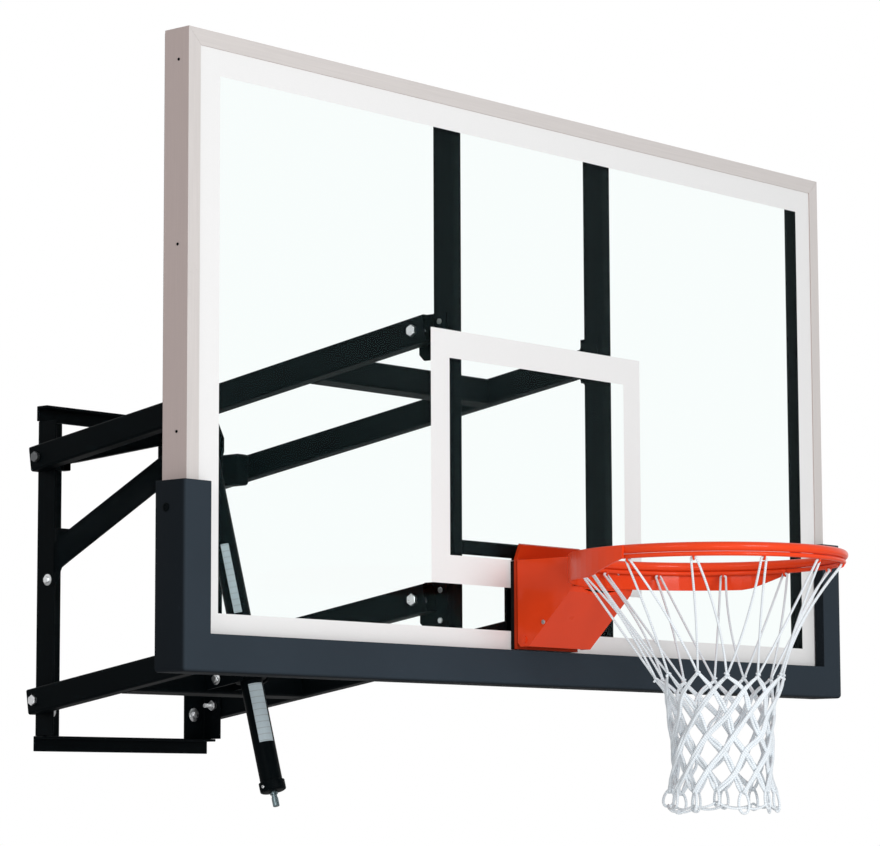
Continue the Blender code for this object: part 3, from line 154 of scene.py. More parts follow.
class HoopBoard(bpy.types.PropertyGroup):
    clear_width: FloatProperty(
        name="Clear width",
        description="Glass inside the border",
        default=66 * INCH,
        unit="LENGTH",
    )
    clear_height: FloatProperty(
        name="Clear height",
        description="Glass inside the border",
        default=35.5 * INCH,
        unit="LENGTH",
    )
    square_width: FloatProperty(
        name="Square width", description="Outer width", default=24 * INCH, unit="LENGTH"
    )
    square_height: FloatProperty(
        name="Square height", description="Outer height", default=18 * INCH, unit="LENGTH"
    )
    line: FloatProperty(
        name="Line", description="Width of the square's line", default=2 * INCH, unit="LENGTH"
    )


# Modelling helpers


def object_mode():
    if bpy.context.mode != "OBJECT":
        bpy.ops.object.mode_set(mode="OBJECT")


def alone(made=None):
    """Deselects all, then selects and activates one object."""
    object_mode()
    bpy.ops.object.select_all(action="DESELECT")
    if made:
        made.select_set(True)
        bpy.context.view_layer.objects.active = made
    return made


def placed(made, location=(0, 0, 0), direction=None):
    """Turns an object's +Z to a direction, moves it, and puts both into its mesh."""
    alone(made)
    made.rotation_mode = "QUATERNION"
    if direction is not None:
        made.rotation_quaternion = Vector(direction).to_track_quat("Z", "Y")
    made.location = location
    bpy.ops.object.transform_apply(location=True, rotation=True, scale=True)
    return made


def tidy_mesh(made, angle=35):
    alone(made)
    bpy.ops.object.mode_set(mode="EDIT")
    bpy.ops.mesh.select_all(action="SELECT")
    bpy.ops.mesh.remove_doubles(threshold=0.00001)
    bpy.ops.mesh.normals_make_consistent(inside=False)
    bpy.ops.object.mode_set(mode="OBJECT")
    bpy.ops.object.shade_smooth_by_angle(angle=math.radians(angle))
    return made


def turned(name, profile, sides=48):
    """A solid along +Z whose rings have the profile's (radius, height) pairs."""
    alone()
    radius, height = profile[0]
    bpy.ops.mesh.primitive_circle_add(
        vertices=sides, radius=radius, fill_type="NGON", location=(0, 0, height)
    )
    made = bpy.context.object
    made.name = name
    bpy.ops.object.transform_apply(location=True, rotation=True, scale=True)
    bpy.ops.object.mode_set(mode="EDIT")
    bpy.ops.mesh.select_all(action="SELECT")
    for next_radius, next_height in profile[1:]:
        bpy.ops.mesh.extrude_region_move(
            TRANSFORM_OT_translate={"value": (0, 0, next_height - height)}
        )
        share = next_radius / radius
        bpy.ops.transform.resize(value=(share, share, 1))
        radius, height = next_radius, next_height
    object_mode()
    return made


def joined(name, pieces):
    alone(pieces[0])
    for other in pieces[1:]:
        other.select_set(True)
    bpy.ops.object.join()
    made = bpy.context.object
    made.name = name
    return made


def copy_of(made, name, matrix):
    """A copy with its own mesh, moved by a matrix."""
    other = made.copy()
    other.data = made.data.copy()
    other.data.transform(matrix)
    if matrix.determinant() < 0:
        other.data.flip_normals()
    other.name = name
    bpy.context.scene.collection.objects.link(other)
    return other


def block(name, x, y, z, bevel=0.0, segments=2):
    """A bar between two corners with its edges bevelled."""
    alone()
    lows = [min(pair) for pair in (x, y, z)]
    highs = [max(pair) for pair in (x, y, z)]
    centre = [(low + high) / 2 for low, high in zip(lows, highs)]
    bpy.ops.mesh.primitive_cube_add(size=1, location=centre)
    made = bpy.context.object
    made.name = name
    made.scale = [high - low for low, high in zip(lows, highs)]
    bpy.ops.object.transform_apply(location=True, rotation=True, scale=True)
    if bevel:
        bpy.ops.object.mode_set(mode="EDIT")
        bpy.ops.mesh.select_all(action="SELECT")
        bpy.ops.mesh.bevel(offset=bevel, segments=segments, affect="EDGES")
        object_mode()
    return made


def dressed(made, body, finish, slot, *nodes):
    """Gives a piece its finish, lets it ride, and hides the nodes it stands for. The slot is not
    used.
    """
    made.data.materials.clear()
    made.data.materials.append(finish)
    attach(made, body)
    if nodes:
        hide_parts(*nodes)
    return made


def tube_rows(points, radius, sides):
    """Rings of points round a path, each square to the path, for cords."""
    rows = []
    across = None
    for k, point in enumerate(points):
        run = (points[min(k + 1, len(points) - 1)] - points[max(k - 1, 0)]).normalized()
        if across is None:
            across = run.orthogonal().normalized()
        across = (across - run * across.dot(run)).normalized()
        up = run.cross(across)
        thick = radius[k] if isinstance(radius, list) else radius
        rows.append(
            [
                point + (across * math.cos(a) + up * math.sin(a)) * thick
                for a in (2 * math.pi * s / sides for s in range(sides))
            ]
        )
    return rows


def add_tube(mesh, layer, points, radius, sides=8):
    """Adds one closed-ended cord to a bmesh, with UVs in metres along it."""
    rows = [[mesh.verts.new(p) for p in row] for row in tube_rows(points, radius, sides)]
    along = [0.0]
    for first, second in zip(points, points[1:]):
        along.append(along[-1] + (second - first).length)
    for k in range(len(rows) - 1):
        for s in range(sides):
            t = (s + 1) % sides
            face = mesh.faces.new((rows[k][s], rows[k][t], rows[k + 1][t], rows[k + 1][s]))
            face.smooth = True
            spots = ((s, k), (s + 1, k), (s + 1, k + 1), (s, k + 1))
            for loop, (round_at, station) in zip(face.loops, spots):
                loop[layer].uv = (round_at / sides, along[station])
    mesh.faces.new(list(reversed(rows[0])))
    mesh.faces.new(rows[-1])


def cord_piece(name, fill):
    """An object from a bmesh that the given function fills with cords."""
    mesh = bmesh.new()
    layer = mesh.loops.layers.uv.new("cord")
    fill(mesh, layer)
    bmesh.ops.recalc_face_normals(mesh, faces=mesh.faces)
    data = bpy.data.meshes.new(name)
    mesh.to_mesh(data)
    mesh.free()
    made = bpy.data.objects.new(name, data)
    bpy.context.scene.collection.objects.link(made)
    return made


# Shader helpers and shared groups


def node(tree, kind, inputs=None, **settings):
    made = tree.nodes.new(kind)
    for key, value in settings.items():
        setattr(made, key, value)
    for key, value in (inputs or {}).items():
        if isinstance(value, bpy.types.NodeSocket):
            tree.links.new(value, made.inputs[key])
        else:
            made.inputs[key].default_value = value
    return made


def ramp(tree, value, low, high):
    made = node(
        tree, "ShaderNodeMapRange", {"Value": value, "From Min": low, "From Max": high}, clamp=True
    )
    return made.outputs["Result"]


def product(tree, first, second):
    made = node(tree, "ShaderNodeMath", {0: first, 1: second}, operation="MULTIPLY")
    return made.outputs[0]


def group(name, inputs, outputs):
    tree = bpy.data.node_groups.new(name, "ShaderNodeTree")
    for socket, kind, default in inputs:
        made = tree.interface.new_socket(socket, in_out="INPUT", socket_type=kind)
        made.default_value = default
    for socket, kind in outputs:
        tree.interface.new_socket(socket, in_out="OUTPUT", socket_type=kind)
    return tree, tree.nodes.new("NodeGroupInput"), tree.nodes.new("NodeGroupOutput")


def build_coat_grain():
    """The fine ripple of a powder coat, with broad patches that dull it."""
    tree, given, result = group(
        "coat_grain",
        [("Ripple Scale", "NodeSocketFloat", 700.0), ("Patch Scale", "NodeSocketFloat", 7.0)],
        [("Height", "NodeSocketFloat"), ("Patch", "NodeSocketFloat")],
    )
    place = node(tree, "ShaderNodeTexCoord").outputs["Object"]
    ripple = node(
        tree,
        "ShaderNodeTexNoise",
        {"Vector": place, "Scale": given.outputs["Ripple Scale"], "Detail": 2.0},
    )
    patch = node(
        tree,
        "ShaderNodeTexNoise",
        {"Vector": place, "Scale": given.outputs["Patch Scale"], "Detail": 4.0},
    )
    tree.links.new(ripple.outputs["Fac"], result.inputs["Height"])
    tree.links.new(ramp(tree, patch.outputs["Fac"], 0.2, 0.8), result.inputs["Patch"])
    return tree


def build_scuffs():
    """Sparse fine scratches and rubbed spots."""
    tree, given, result = group(
        "scuffs",
        [("Scale", "NodeSocketFloat", 9.0), ("Amount", "NodeSocketFloat", 0.5)],
        [("Mask", "NodeSocketFloat")],
    )
    place = node(tree, "ShaderNodeTexCoord").outputs["Object"]
    streak = node(
        tree,
        "ShaderNodeMapping",
        {"Vector": place, "Scale": (1.0, 12.0, 3.0), "Rotation": (0.4, 0.7, 0.3)},
    )
    fine = node(
        tree,
        "ShaderNodeTexNoise",
        {
            "Vector": streak.outputs["Vector"],
            "Scale": given.outputs["Scale"],
            "Detail": 8.0,
            "Roughness": 0.7,
        },
    )
    where = node(tree, "ShaderNodeTexNoise", {"Vector": place, "Scale": 3.1, "Detail": 2.0})
    scratch = ramp(tree, fine.outputs["Fac"], 0.62, 0.74)
    area = ramp(tree, where.outputs["Fac"], 0.5, 0.7)
    scaled = product(tree, product(tree, scratch, area), given.outputs["Amount"])
    tree.links.new(scaled, result.inputs["Mask"])
    return tree


def build_front_light():
    """How far a face looks to the front, where the light is fullest: the mask for painted shade on
    the faces that look aside.
    """
    tree, given, result = group(
        "front_light",
        [("From", "NodeSocketFloat", 0.3), ("To", "NodeSocketFloat", 0.8)],
        [("Mask", "NodeSocketFloat")],
    )
    normal = node(tree, "ShaderNodeNewGeometry").outputs["Normal"]
    depth = node(tree, "ShaderNodeSeparateXYZ", {"Vector": normal}).outputs["Y"]
    ahead = product(tree, depth, -1.0)
    mask = ramp(tree, ahead, given.outputs["From"], given.outputs["To"])
    tree.links.new(mask, result.inputs["Mask"])
    return tree


def build_dust():
    """Dust that settles on faces that look up."""
    tree, given, result = group(
        "settled_dust", [("Amount", "NodeSocketFloat", 0.2)], [("Mask", "NodeSocketFloat")]
    )
    normal = node(tree, "ShaderNodeNewGeometry").outputs["Normal"]
    up = node(tree, "ShaderNodeSeparateXYZ", {"Vector": normal}).outputs["Z"]
    place = node(tree, "ShaderNodeTexCoord").outputs["Object"]
    cloud = node(tree, "ShaderNodeTexNoise", {"Vector": place, "Scale": 22.0, "Detail": 6.0})
    both = product(tree, ramp(tree, up, 0.55, 1.0), ramp(tree, cloud.outputs["Fac"], 0.3, 0.75))
    tree.links.new(product(tree, both, given.outputs["Amount"]), result.inputs["Mask"])
    return tree


class Finish:
    """One material while it is being built."""

    def __init__(self, name, roughness, metallic=0.0, coat=0.0, shine=0.5):
        self.material = bpy.data.materials.new(name)
        self.material.use_nodes = True
        self.tree = self.material.node_tree
        self.shader = self.tree.nodes["Principled BSDF"]
        self.shader.inputs["Roughness"].default_value = roughness
        self.shader.inputs["Metallic"].default_value = metallic
        self.shader.inputs["Coat Weight"].default_value = coat
        self.shader.inputs["Coat Roughness"].default_value = 0.12
        self.shader.inputs["Specular IOR Level"].default_value = shine

    def add(self, kind, inputs=None, **settings):
        return node(self.tree, kind, inputs, **settings)

    def group(self, tree, inputs=None):
        made = self.tree.nodes.new("ShaderNodeGroup")
        made.node_tree = tree
        for key, value in (inputs or {}).items():
            made.inputs[key].default_value = value
        return made

    def mix(self, factor, first, second):
        made = self.add("ShaderNodeMix", data_type="RGBA")
        for index, value in ((0, factor), (6, first), (7, second)):
            if isinstance(value, bpy.types.NodeSocket):
                self.tree.links.new(value, made.inputs[index])
            else:
                made.inputs[index].default_value = value
        return made.outputs[2]

    def feed(self, socket, value):
        self.tree.links.new(value, self.shader.inputs[socket])

    def roughen(self, value, low, high):
        """Runs the roughness from low to high as a value goes from 0 to 1."""
        spread = self.add("ShaderNodeMapRange", {"Value": value, "To Min": low, "To Max": high})
        self.feed("Roughness", spread.outputs["Result"])

    def bump(self, height, strength, distance):
        made = self.add(
            "ShaderNodeBump", {"Height": height, "Strength": strength, "Distance": distance}
        )
        self.feed("Normal", made.outputs["Normal"])


def shade(colour, factor):
    return (colour[0] * factor, colour[1] * factor, colour[2] * factor, 1.0)


def powder_coat(name, colour, roughness, worn, groups, coat=0.0, dust=0.02, shine=0.03):
    """Sprayed and baked coat: ripple, dull patches, scuffs and a little dust."""
    made = Finish(name, roughness, coat=coat, shine=shine)
    grain = made.group(groups["coat_grain"])
    scuffs = made.group(groups["scuffs"], {"Amount": 0.45})
    dusty = made.group(groups["settled_dust"], {"Amount": dust})
    tone = made.mix(grain.outputs["Patch"], shade(colour, 0.94), shade(colour, 1.06))
    tone = made.mix(scuffs.outputs["Mask"], tone, (*worn, 1.0))
    made.feed("Base Color", made.mix(dusty.outputs["Mask"], tone, (0.32, 0.31, 0.29, 1.0)))
    made.roughen(grain.outputs["Patch"], roughness - 0.06, roughness + 0.1)
    made.bump(grain.outputs["Height"], 0.16, 0.0004)
    return made.material


def plated_metal(name, colour, roughness, groups):
    """Zinc plate: cloudy tone and fine rub marks."""
    made = Finish(name, roughness, metallic=1.0)
    grain = made.group(groups["coat_grain"], {"Ripple Scale": 1500.0, "Patch Scale": 90.0})
    tone = made.mix(grain.outputs["Patch"], shade(colour, 0.72), shade(colour, 1.1))
    made.feed("Base Color", tone)
    made.roughen(grain.outputs["Patch"], roughness - 0.08, roughness + 0.14)
    made.bump(grain.outputs["Height"], 0.1, 0.0002)
    return made.material


def anodised(name, colour, stretch, groups):
    """Extruded and anodised rail: faint draw lines along its length, and painted shade on the faces
    that look away from the front.
    """
    made = Finish(name, 0.42, metallic=0.35)
    place = made.add("ShaderNodeTexCoord").outputs["Object"]
    drawn = made.add("ShaderNodeMapping", {"Vector": place, "Scale": stretch})
    lines = made.add(
        "ShaderNodeTexNoise", {"Vector": drawn.outputs["Vector"], "Scale": 420.0, "Detail": 3.0}
    )
    scuffs = made.group(groups["scuffs"], {"Amount": 0.35})
    front = made.group(groups["front_light"])
    red, green, blue = colour
    # Painted shade: the faces that look aside take this darker, warmer tone.
    edge = (red * 0.75, green * 0.655, blue * 0.64, 1.0)
    tone = made.mix(front.outputs["Mask"], edge, (*colour, 1.0))
    grain = made.mix(lines.outputs["Fac"], (0.92, 0.92, 0.92, 1.0), (1.08, 1.08, 1.08, 1.0))
    drawn_tone = made.add("ShaderNodeMix", data_type="RGBA", blend_type="MULTIPLY")
    drawn_tone.inputs[0].default_value = 1.0
    made.tree.links.new(tone, drawn_tone.inputs[6])
    made.tree.links.new(grain, drawn_tone.inputs[7])
    tone = made.mix(scuffs.outputs["Mask"], drawn_tone.outputs[2], shade(colour, 0.6))
    made.feed("Base Color", tone)
    made.roughen(lines.outputs["Fac"], 0.36, 0.5)
    made.bump(lines.outputs["Fac"], 0.07, 0.0002)
    return made.material


def clear_glass():
    """Clear pane: its low index keeps the white studio from veiling the steel behind it."""
    made = Finish("clear_glass", 0.01)
    made.shader.inputs["Transmission Weight"].default_value = 1.0
    made.shader.inputs["IOR"].default_value = 1.1
    made.shader.inputs["Specular Tint"].default_value = (0.1, 0.95, 1.0, 1.0)
    made.shader.inputs["Base Color"].default_value = (0.94, 0.985, 0.975, 1.0)
    return made.material


def screen_print(colour):
    """White ceramic ink: faint speckle."""
    made = Finish("white_print", 0.45)
    place = made.add("ShaderNodeTexCoord").outputs["Object"]
    speck = made.add("ShaderNodeTexNoise", {"Vector": place, "Scale": 900.0, "Detail": 2.0})
    tone = made.mix(speck.outputs["Fac"], shade(colour, 0.96), shade(colour, 1.04))
    made.feed("Base Color", tone)
    made.bump(speck.outputs["Fac"], 0.05, 0.0001)
    return made.material


def moulded_foam(colour, groups):
    """Skinned foam: pebbled grain, scuffs that dull it, and painted shade on the faces that look
    away from the front.
    """
    made = Finish("moulded_foam", 0.55, shine=0.03)
    place = made.add("ShaderNodeTexCoord").outputs["Object"]
    pebble = made.add("ShaderNodeTexVoronoi", {"Vector": place, "Scale": 620.0})
    grain = made.group(groups["coat_grain"], {"Ripple Scale": 1300.0, "Patch Scale": 5.0})
    scuffs = made.group(groups["scuffs"], {"Scale": 14.0, "Amount": 0.5})
    front = made.group(groups["front_light"], {"From": 0.45, "To": 0.95})
    face = made.mix(grain.outputs["Patch"], shade(colour, 0.92), shade(colour, 1.1))
    # Painted shade: faces that look aside get a third of the pad's colour.
    tone = made.mix(front.outputs["Mask"], shade(colour, 0.3), face)
    made.feed("Base Color", made.mix(scuffs.outputs["Mask"], tone, shade(colour, 1.5)))
    made.roughen(grain.outputs["Patch"], 0.52, 0.7)
    made.bump(pebble.outputs["Distance"], 0.2, 0.0005)
    return made.material


def twisted_cord():
    """White braided cord whose lay follows its own UV map."""
    made = Finish("net_cord", 0.85)
    made.shader.inputs["Sheen Weight"].default_value = 0.25
    uv = made.add("ShaderNodeUVMap", uv_map="cord").outputs["UV"]
    lay = made.add("ShaderNodeMapping", {"Vector": uv, "Scale": (1.0, 250.0, 1.0)})
    parts = made.add("ShaderNodeSeparateXYZ", {"Vector": lay.outputs["Vector"]})
    pair = {0: parts.outputs["X"], 1: parts.outputs["Y"]}
    twist = made.add("ShaderNodeMath", pair, operation="ADD")
    turn = product(made.tree, twist.outputs[0], 2 * math.pi)
    wave = made.add("ShaderNodeMath", {0: turn}, operation="SINE")
    height = ramp(made.tree, wave.outputs[0], -1.0, 1.0)
    # Painted shade: the white cord is painted a blue grey, darker in the grooves of the lay.
    made.feed("Base Color", made.mix(height, (0.66, 0.72, 0.77, 1.0), (0.82, 0.86, 0.89, 1.0)))
    made.bump(height, 0.25, 0.0004)
    return made.material


def scale_label():
    """A pale label with plain ticks each half inch along the jack."""
    made = Finish("scale_label", 0.4)
    place = made.add("ShaderNodeTexCoord").outputs["Object"]
    along = made.add("ShaderNodeVectorMath", {0: place, 1: JACK_RUN}, operation="DOT_PRODUCT")
    count = product(made.tree, along.outputs["Value"], 1 / (0.5 * INCH))
    part = made.add("ShaderNodeMath", {0: count}, operation="FRACT")
    tick = made.add("ShaderNodeMath", {0: part.outputs[0], 1: 0.09}, operation="LESS_THAN")
    speck = made.add("ShaderNodeTexNoise", {"Vector": place, "Scale": 300.0})
    paper = made.mix(speck.outputs["Fac"], (0.42, 0.5, 0.54, 1.0), (0.5, 0.58, 0.62, 1.0))
    made.feed("Base Color", made.mix(tick.outputs[0], paper, (0.3, 0.34, 0.36, 1.0)))
    return made.material


FINISHES = {}


class HOOP_OT_finishes(bpy.types.Operator):
    """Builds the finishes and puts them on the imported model's nodes"""

    bl_idname = "hoop.finishes"
    bl_label = "Finishes"

    def execute(self, context):
        paint = context.scene.hoop_paint
        groups = {
            "coat_grain": build_coat_grain(),
            "scuffs": build_scuffs(),
            "settled_dust": build_dust(),
            "front_light": build_front_light(),
        }
        steel, rim = tuple(paint.steel), tuple(paint.rim)
        aluminium = tuple(paint.aluminium)
        # Painted shade: the rim's mount plate, under the ring, gets the rim's coat at six tenths.
        plate = tuple(0.6 * value for value in rim)
        FINISHES["black"] = powder_coat(
            "black_coat", steel, 0.4, (0.016, 0.02, 0.022), groups, shine=0.02
        )
        FINISHES["orange"] = powder_coat(
            "orange_coat", rim, 0.3, (0.5, 0.05, 0.02), groups, coat=0.22, dust=0.0, shine=0.08
        )
        FINISHES["painted_shade"] = powder_coat(
            "orange_painted_shade", plate, 0.36, (0.4, 0.05, 0.02), groups, dust=0.0, shine=0.08
        )
        FINISHES["zinc"] = plated_metal("zinc_plate", (0.66, 0.67, 0.68), 0.28, groups)
        FINISHES["dull"] = plated_metal("darker_zinc", (0.13, 0.135, 0.14), 0.42, groups)
        FINISHES["oiled"] = plated_metal("oiled_steel", (0.15, 0.195, 0.21), 0.22, groups)
        FINISHES["upright"] = anodised("anodised_upright", aluminium, (1.0, 1.0, 0.02), groups)
        FINISHES["level"] = anodised("anodised_level", aluminium, (0.02, 1.0, 1.0), groups)
        FINISHES["glass"] = clear_glass()
        FINISHES["print"] = screen_print(tuple(paint.white_print))
        FINISHES["pad"] = moulded_foam(tuple(paint.pad), groups)
        FINISHES["gasket"] = powder_coat(
            "gasket_rubber", (0.008, 0.008, 0.008), 0.7, (0.03, 0.03, 0.03), groups
        )
        FINISHES["cord"] = twisted_cord()
        FINISHES["label"] = scale_label()
        for name, made in frame["nodes"].items():
            kind = SLOTS[name]
            if name.startswith("board_frame"):
                kind = "upright" if name.endswith(("left", "right")) else "level"
            elif name == "rim_hinge_pin":
                kind = "orange"
            elif name == "rim_mount_plate":
                # The mount plate takes the darker copy of the orange coat, a painted shade.
                kind = "painted_shade"
            made.data.materials.clear()
            made.data.materials.append(FINISHES.get(kind, FINISHES["cord"]))
        return {"FINISHED"}


# Board


PRINT_FACE = 0.00018  # from the glass to the print's face
PRINT_DEPTH = 0.00008
PRINT_MARGIN = 0.01  # bare glass outside the border, which the frame covers
SQUARE_FOOT = 3.1 * INCH  # above the pane's lower edge
SCREW_LEVELS = (36.28, 23.98, 11.68)  # inches above the pane's lower edge
PAD_COVER = 1.4 * INCH  # how far the pad's lips reach over the front
PAD_ROUNDING = 0.3 * INCH
PLUG_RISE = 0.0011
PLUG_FOOT = 0.0002
PAST = 0.05  # how far a cutting tool reaches past what it cuts


def ring_of_print(name, outer, inner, y):
    """A flat printed frame between two rectangles, made by cutting a plane at the inner lines."""
    alone()
    (x0, x1, z0, z1), (a0, a1, b0, b1) = outer, inner
    bpy.ops.mesh.primitive_plane_add(size=1, location=(0, 0, 0), rotation=(math.pi / 2, 0, 0))
    made = bpy.context.object
    made.name = name
    made.scale = (x1 - x0, z1 - z0, 1)
    made.location = ((x0 + x1) / 2, y, (z0 + z1) / 2)
    bpy.ops.object.transform_apply(location=True, rotation=True, scale=True)
    bpy.ops.object.mode_set(mode="EDIT")
    for spot, normal in (
        ((a0, y, 0), (1, 0, 0)),
        ((a1, y, 0), (1, 0, 0)),
        ((0, y, b0), (0, 0, 1)),
        ((0, y, b1), (0, 0, 1)),
    ):
        bpy.ops.mesh.select_all(action="SELECT")
        bpy.ops.mesh.bisect(plane_co=spot, plane_no=normal)
    bpy.ops.mesh.select_all(action="DESELECT")
    bpy.ops.mesh.select_mode(type="FACE")
    mesh = bmesh.from_edit_mesh(made.data)
    for face in mesh.faces:
        centre = face.calc_center_median()
        face.select = a0 < centre.x < a1 and b0 < centre.z < b1
    bmesh.update_edit_mesh(made.data)
    bpy.ops.mesh.delete(type="FACE")
    bpy.ops.mesh.select_all(action="SELECT")
    bpy.ops.mesh.extrude_region_move(TRANSFORM_OT_translate={"value": (0, PRINT_DEPTH, 0)})
    object_mode()
    return tidy_mesh(made)


class HOOP_OT_board_print(bpy.types.Operator):
    """Prints the border and the shooter's square on the glass"""

    bl_idname = "hoop.board_print"
    bl_label = "Board print"

    def execute(self, context):
        sizes = context.scene.hoop_board
        low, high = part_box("glass")
        y = low[1] - PRINT_FACE
        half, line = sizes.clear_width / 2, sizes.line
        foot, top = PANE.z, PANE.z + sizes.clear_height
        outer = (
            low[0] + PRINT_MARGIN,
            high[0] - PRINT_MARGIN,
            low[2] + PRINT_MARGIN,
            high[2] - PRINT_MARGIN,
        )
        border = ring_of_print("print_border", outer, (-half, half, foot, top), y)
        dressed(border, "board", FINISHES["print"], "net")
        half = sizes.square_width / 2
        foot, top = foot + SQUARE_FOOT, foot + SQUARE_FOOT + sizes.square_height
        inner = (line - half, half - line, foot + line, top - line)
        square = ring_of_print("print_square", (-half, half, foot, top), inner, y)
        dressed(square, "board", FINISHES["print"], "net")
        return {"FINISHED"}


class HOOP_OT_board_screws(bpy.types.Operator):
    """Sets small countersunk screws in the sides of the board's frame"""

    bl_idname = "hoop.board_screws"
    bl_label = "Board screws"

    def execute(self, context):
        radius = 0.1 * INCH
        screw = turned(
            "side_screw",
            [
                (radius, 0.0),
                (radius, 0.0006),
                (radius * 0.8, 0.0011),
                (radius * 0.35, 0.0011),
                (radius * 0.3, 0.0005),
            ],
            24,
        )
        tidy_mesh(screw)
        face = -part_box("board_frame_left")[0][0]
        copies = []
        for side in (-1, 1):
            turn = Vector((side, 0, 0)).to_track_quat("Z", "Y").to_matrix().to_4x4()
            for level in SCREW_LEVELS:
                spot = Vector((side * face, PANE.y + 0.85 * INCH, PANE.z + level * INCH))
                name = f"side_screw_{len(copies)}"
                copies.append(copy_of(screw, name, Matrix.Translation(spot) @ turn))
        bpy.data.objects.remove(screw)
        dressed(joined("board_side_screws", copies), "board", FINISHES["black"], "black")
        return {"FINISHED"}


class HOOP_OT_edge_pad(bpy.types.Operator):
    """Moulds the edge pad round the board's lower corners"""

    bl_idname = "hoop.edge_pad"
    bl_label = "Edge pad"

    def execute(self, context):
        low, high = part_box("edge_pad")
        half = -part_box("board_frame_left")[0][0]
        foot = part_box("board_frame_bottom")[0][2]
        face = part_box("board_frame_left")[0][1] - 0.0005
        reach = high[0] - PLUG_RISE - PLUG_FOOT  # the plugs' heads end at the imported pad's sides
        pad = block("moulded_pad", (-reach, reach), (low[1], high[1]), (low[2], high[2]))
        bpy.ops.object.mode_set(mode="EDIT")
        bpy.ops.mesh.select_mode(type="EDGE")
        bpy.ops.mesh.select_all(action="DESELECT")
        mesh = bmesh.from_edit_mesh(pad.data)
        for edge in mesh.edges:
            ends = [vertex.co for vertex in edge.verts]
            at_rear = all(end.y > high[1] - 0.001 for end in ends)
            at_top = all(end.z > high[2] - 0.001 for end in ends)
            edge.select = not at_rear and not at_top
        bmesh.update_edit_mesh(pad.data)
        bpy.ops.mesh.bevel(offset=PAD_ROUNDING, segments=5, affect="EDGES")
        object_mode()
        hollow = block("pad_hollow", (-half, half), (face, high[1] + PAST), (foot, high[2] + PAST))
        window = block(
            "pad_window",
            (PAD_COVER - half, half - PAD_COVER),
            (low[1] - PAST, face + 0.01),
            (foot + PAD_COVER, high[2] + PAST),
        )
        for tool in (hollow, window):
            alone(pad)
            cut = pad.modifiers.new("cut", "BOOLEAN")
            cut.operation = "DIFFERENCE"
            cut.solver = "EXACT"
            cut.object = tool
            bpy.ops.object.modifier_apply(modifier="cut")
            bpy.data.objects.remove(tool)
        lip = pad.modifiers.new("lip", "BEVEL")
        lip.width = 0.0014
        lip.segments = 3
        lip.limit_method = "ANGLE"
        lip.angle_limit = math.radians(60)
        alone(pad)
        bpy.ops.object.modifier_apply(modifier="lip")
        tidy_mesh(pad, 40)
        dressed(pad, "board", FINISHES["pad"], "pad", "edge_pad")
        profile = [
            (0.0075, -0.0005),
            (0.0075, 0.0006),
            (0.006, PLUG_RISE),
            (0.0045, PLUG_RISE),
            (0.0042, 0.0002),
        ]
        plugs = []
        for side in (-1, 1):
            plug = tidy_mesh(turned("pad_plug", profile, 32))
            spot = (side * (reach + PLUG_FOOT), PANE.y + 0.7 * INCH, PANE.z + 6.69 * INCH)
            plugs.append(placed(plug, spot, (side, 0, 0)))
        dressed(joined("pad_plugs", plugs), "board", FINISHES["black"], "pad")
        return {"FINISHED"}


# Rim and net


RING_CENTRE = PANE + Vector((0.0, -15.15, 0.0)) * INCH
RING_RADIUS = 9.3125 * INCH
RING_WIRE = 0.3125 * INCH
RING_LEVEL = PANE.z + 4.7 * INCH
ROD_WIRE = 0.156 * INCH
ROD_LEVEL = RING_LEVEL - RING_WIRE - ROD_WIRE - 0.0003
HOOK_DROP = 0.2  # inches below the rod's middle to the hook's bend
HOOK_BEND = 0.17
HOOK_WIRE = 0.07
WELD_HALF = 0.006  # half length of the ring's butt weld, which the bracket hides
WELD_RISE = 0.0004


def level_way(angle):
    """The level direction at an angle from +X towards +Y."""
    return Vector((math.cos(angle), math.sin(angle), 0.0))


class HOOP_OT_ring(bpy.types.Operator):
    """Bends the ring and the net rod, and welds the hooks on"""

    bl_idname = "hoop.ring"
    bl_label = "Ring and net rod"

    def execute(self, context):
        alone()
        bpy.ops.mesh.primitive_torus_add(
            major_radius=RING_RADIUS,
            minor_radius=RING_WIRE,
            major_segments=192,
            minor_segments=28,
            location=(0, RING_CENTRE.y, RING_LEVEL),
        )
        ring = bpy.context.object
        ring.name = "smooth_ring"
        bpy.ops.object.transform_apply(location=True, rotation=True, scale=True)
        bpy.ops.object.mode_set(mode="EDIT")
        bpy.ops.mesh.select_all(action="DESELECT")
        mesh = bmesh.from_edit_mesh(ring.data)
        for face in mesh.faces:
            centre = face.calc_center_median()
            face.select = abs(centre.x) < WELD_HALF and centre.y > RING_CENTRE.y
        bmesh.update_edit_mesh(ring.data)
        bpy.ops.transform.shrink_fatten(value=WELD_RISE)
        object_mode()
        tidy_mesh(ring, 60)
        dressed(ring, "rim", FINISHES["orange"], "orange", "rim_ring")

        hooks = context.scene.hoop_net.hooks

        def fill(mesh, layer):
            origin = Vector((0, RING_CENTRE.y, ROD_LEVEL))
            rod = [
                origin + level_way(t) * RING_RADIUS
                for t in (2 * math.pi * k / 180 for k in range(181))
            ]
            add_tube(mesh, layer, rod, ROD_WIRE, 16)
            # A hook's outline as (outward, up) pairs in inches from the rod's middle.
            outline = [(0.0, -0.06), (0.0, -HOOK_DROP)]
            for k in range(1, 11):
                t = math.pi * k / 10
                out, down = HOOK_BEND * (math.cos(t) - 1), HOOK_BEND * math.sin(t)
                outline.append((out, -HOOK_DROP - down))
            outline.append((-2 * HOOK_BEND, -0.1))
            for hook in range(hooks):
                outward = level_way(2 * math.pi * hook / hooks)
                points = [
                    origin + outward * (RING_RADIUS + a * INCH) + Vector((0, 0, b * INCH))
                    for a, b in outline
                ]
                add_tube(mesh, layer, points, HOOK_WIRE * INCH, 12)

        rod = cord_piece("welded_net_rod", fill)
        dressed(rod, "rim", FINISHES["orange"], "orange", "net_rod")
        return {"FINISHED"}


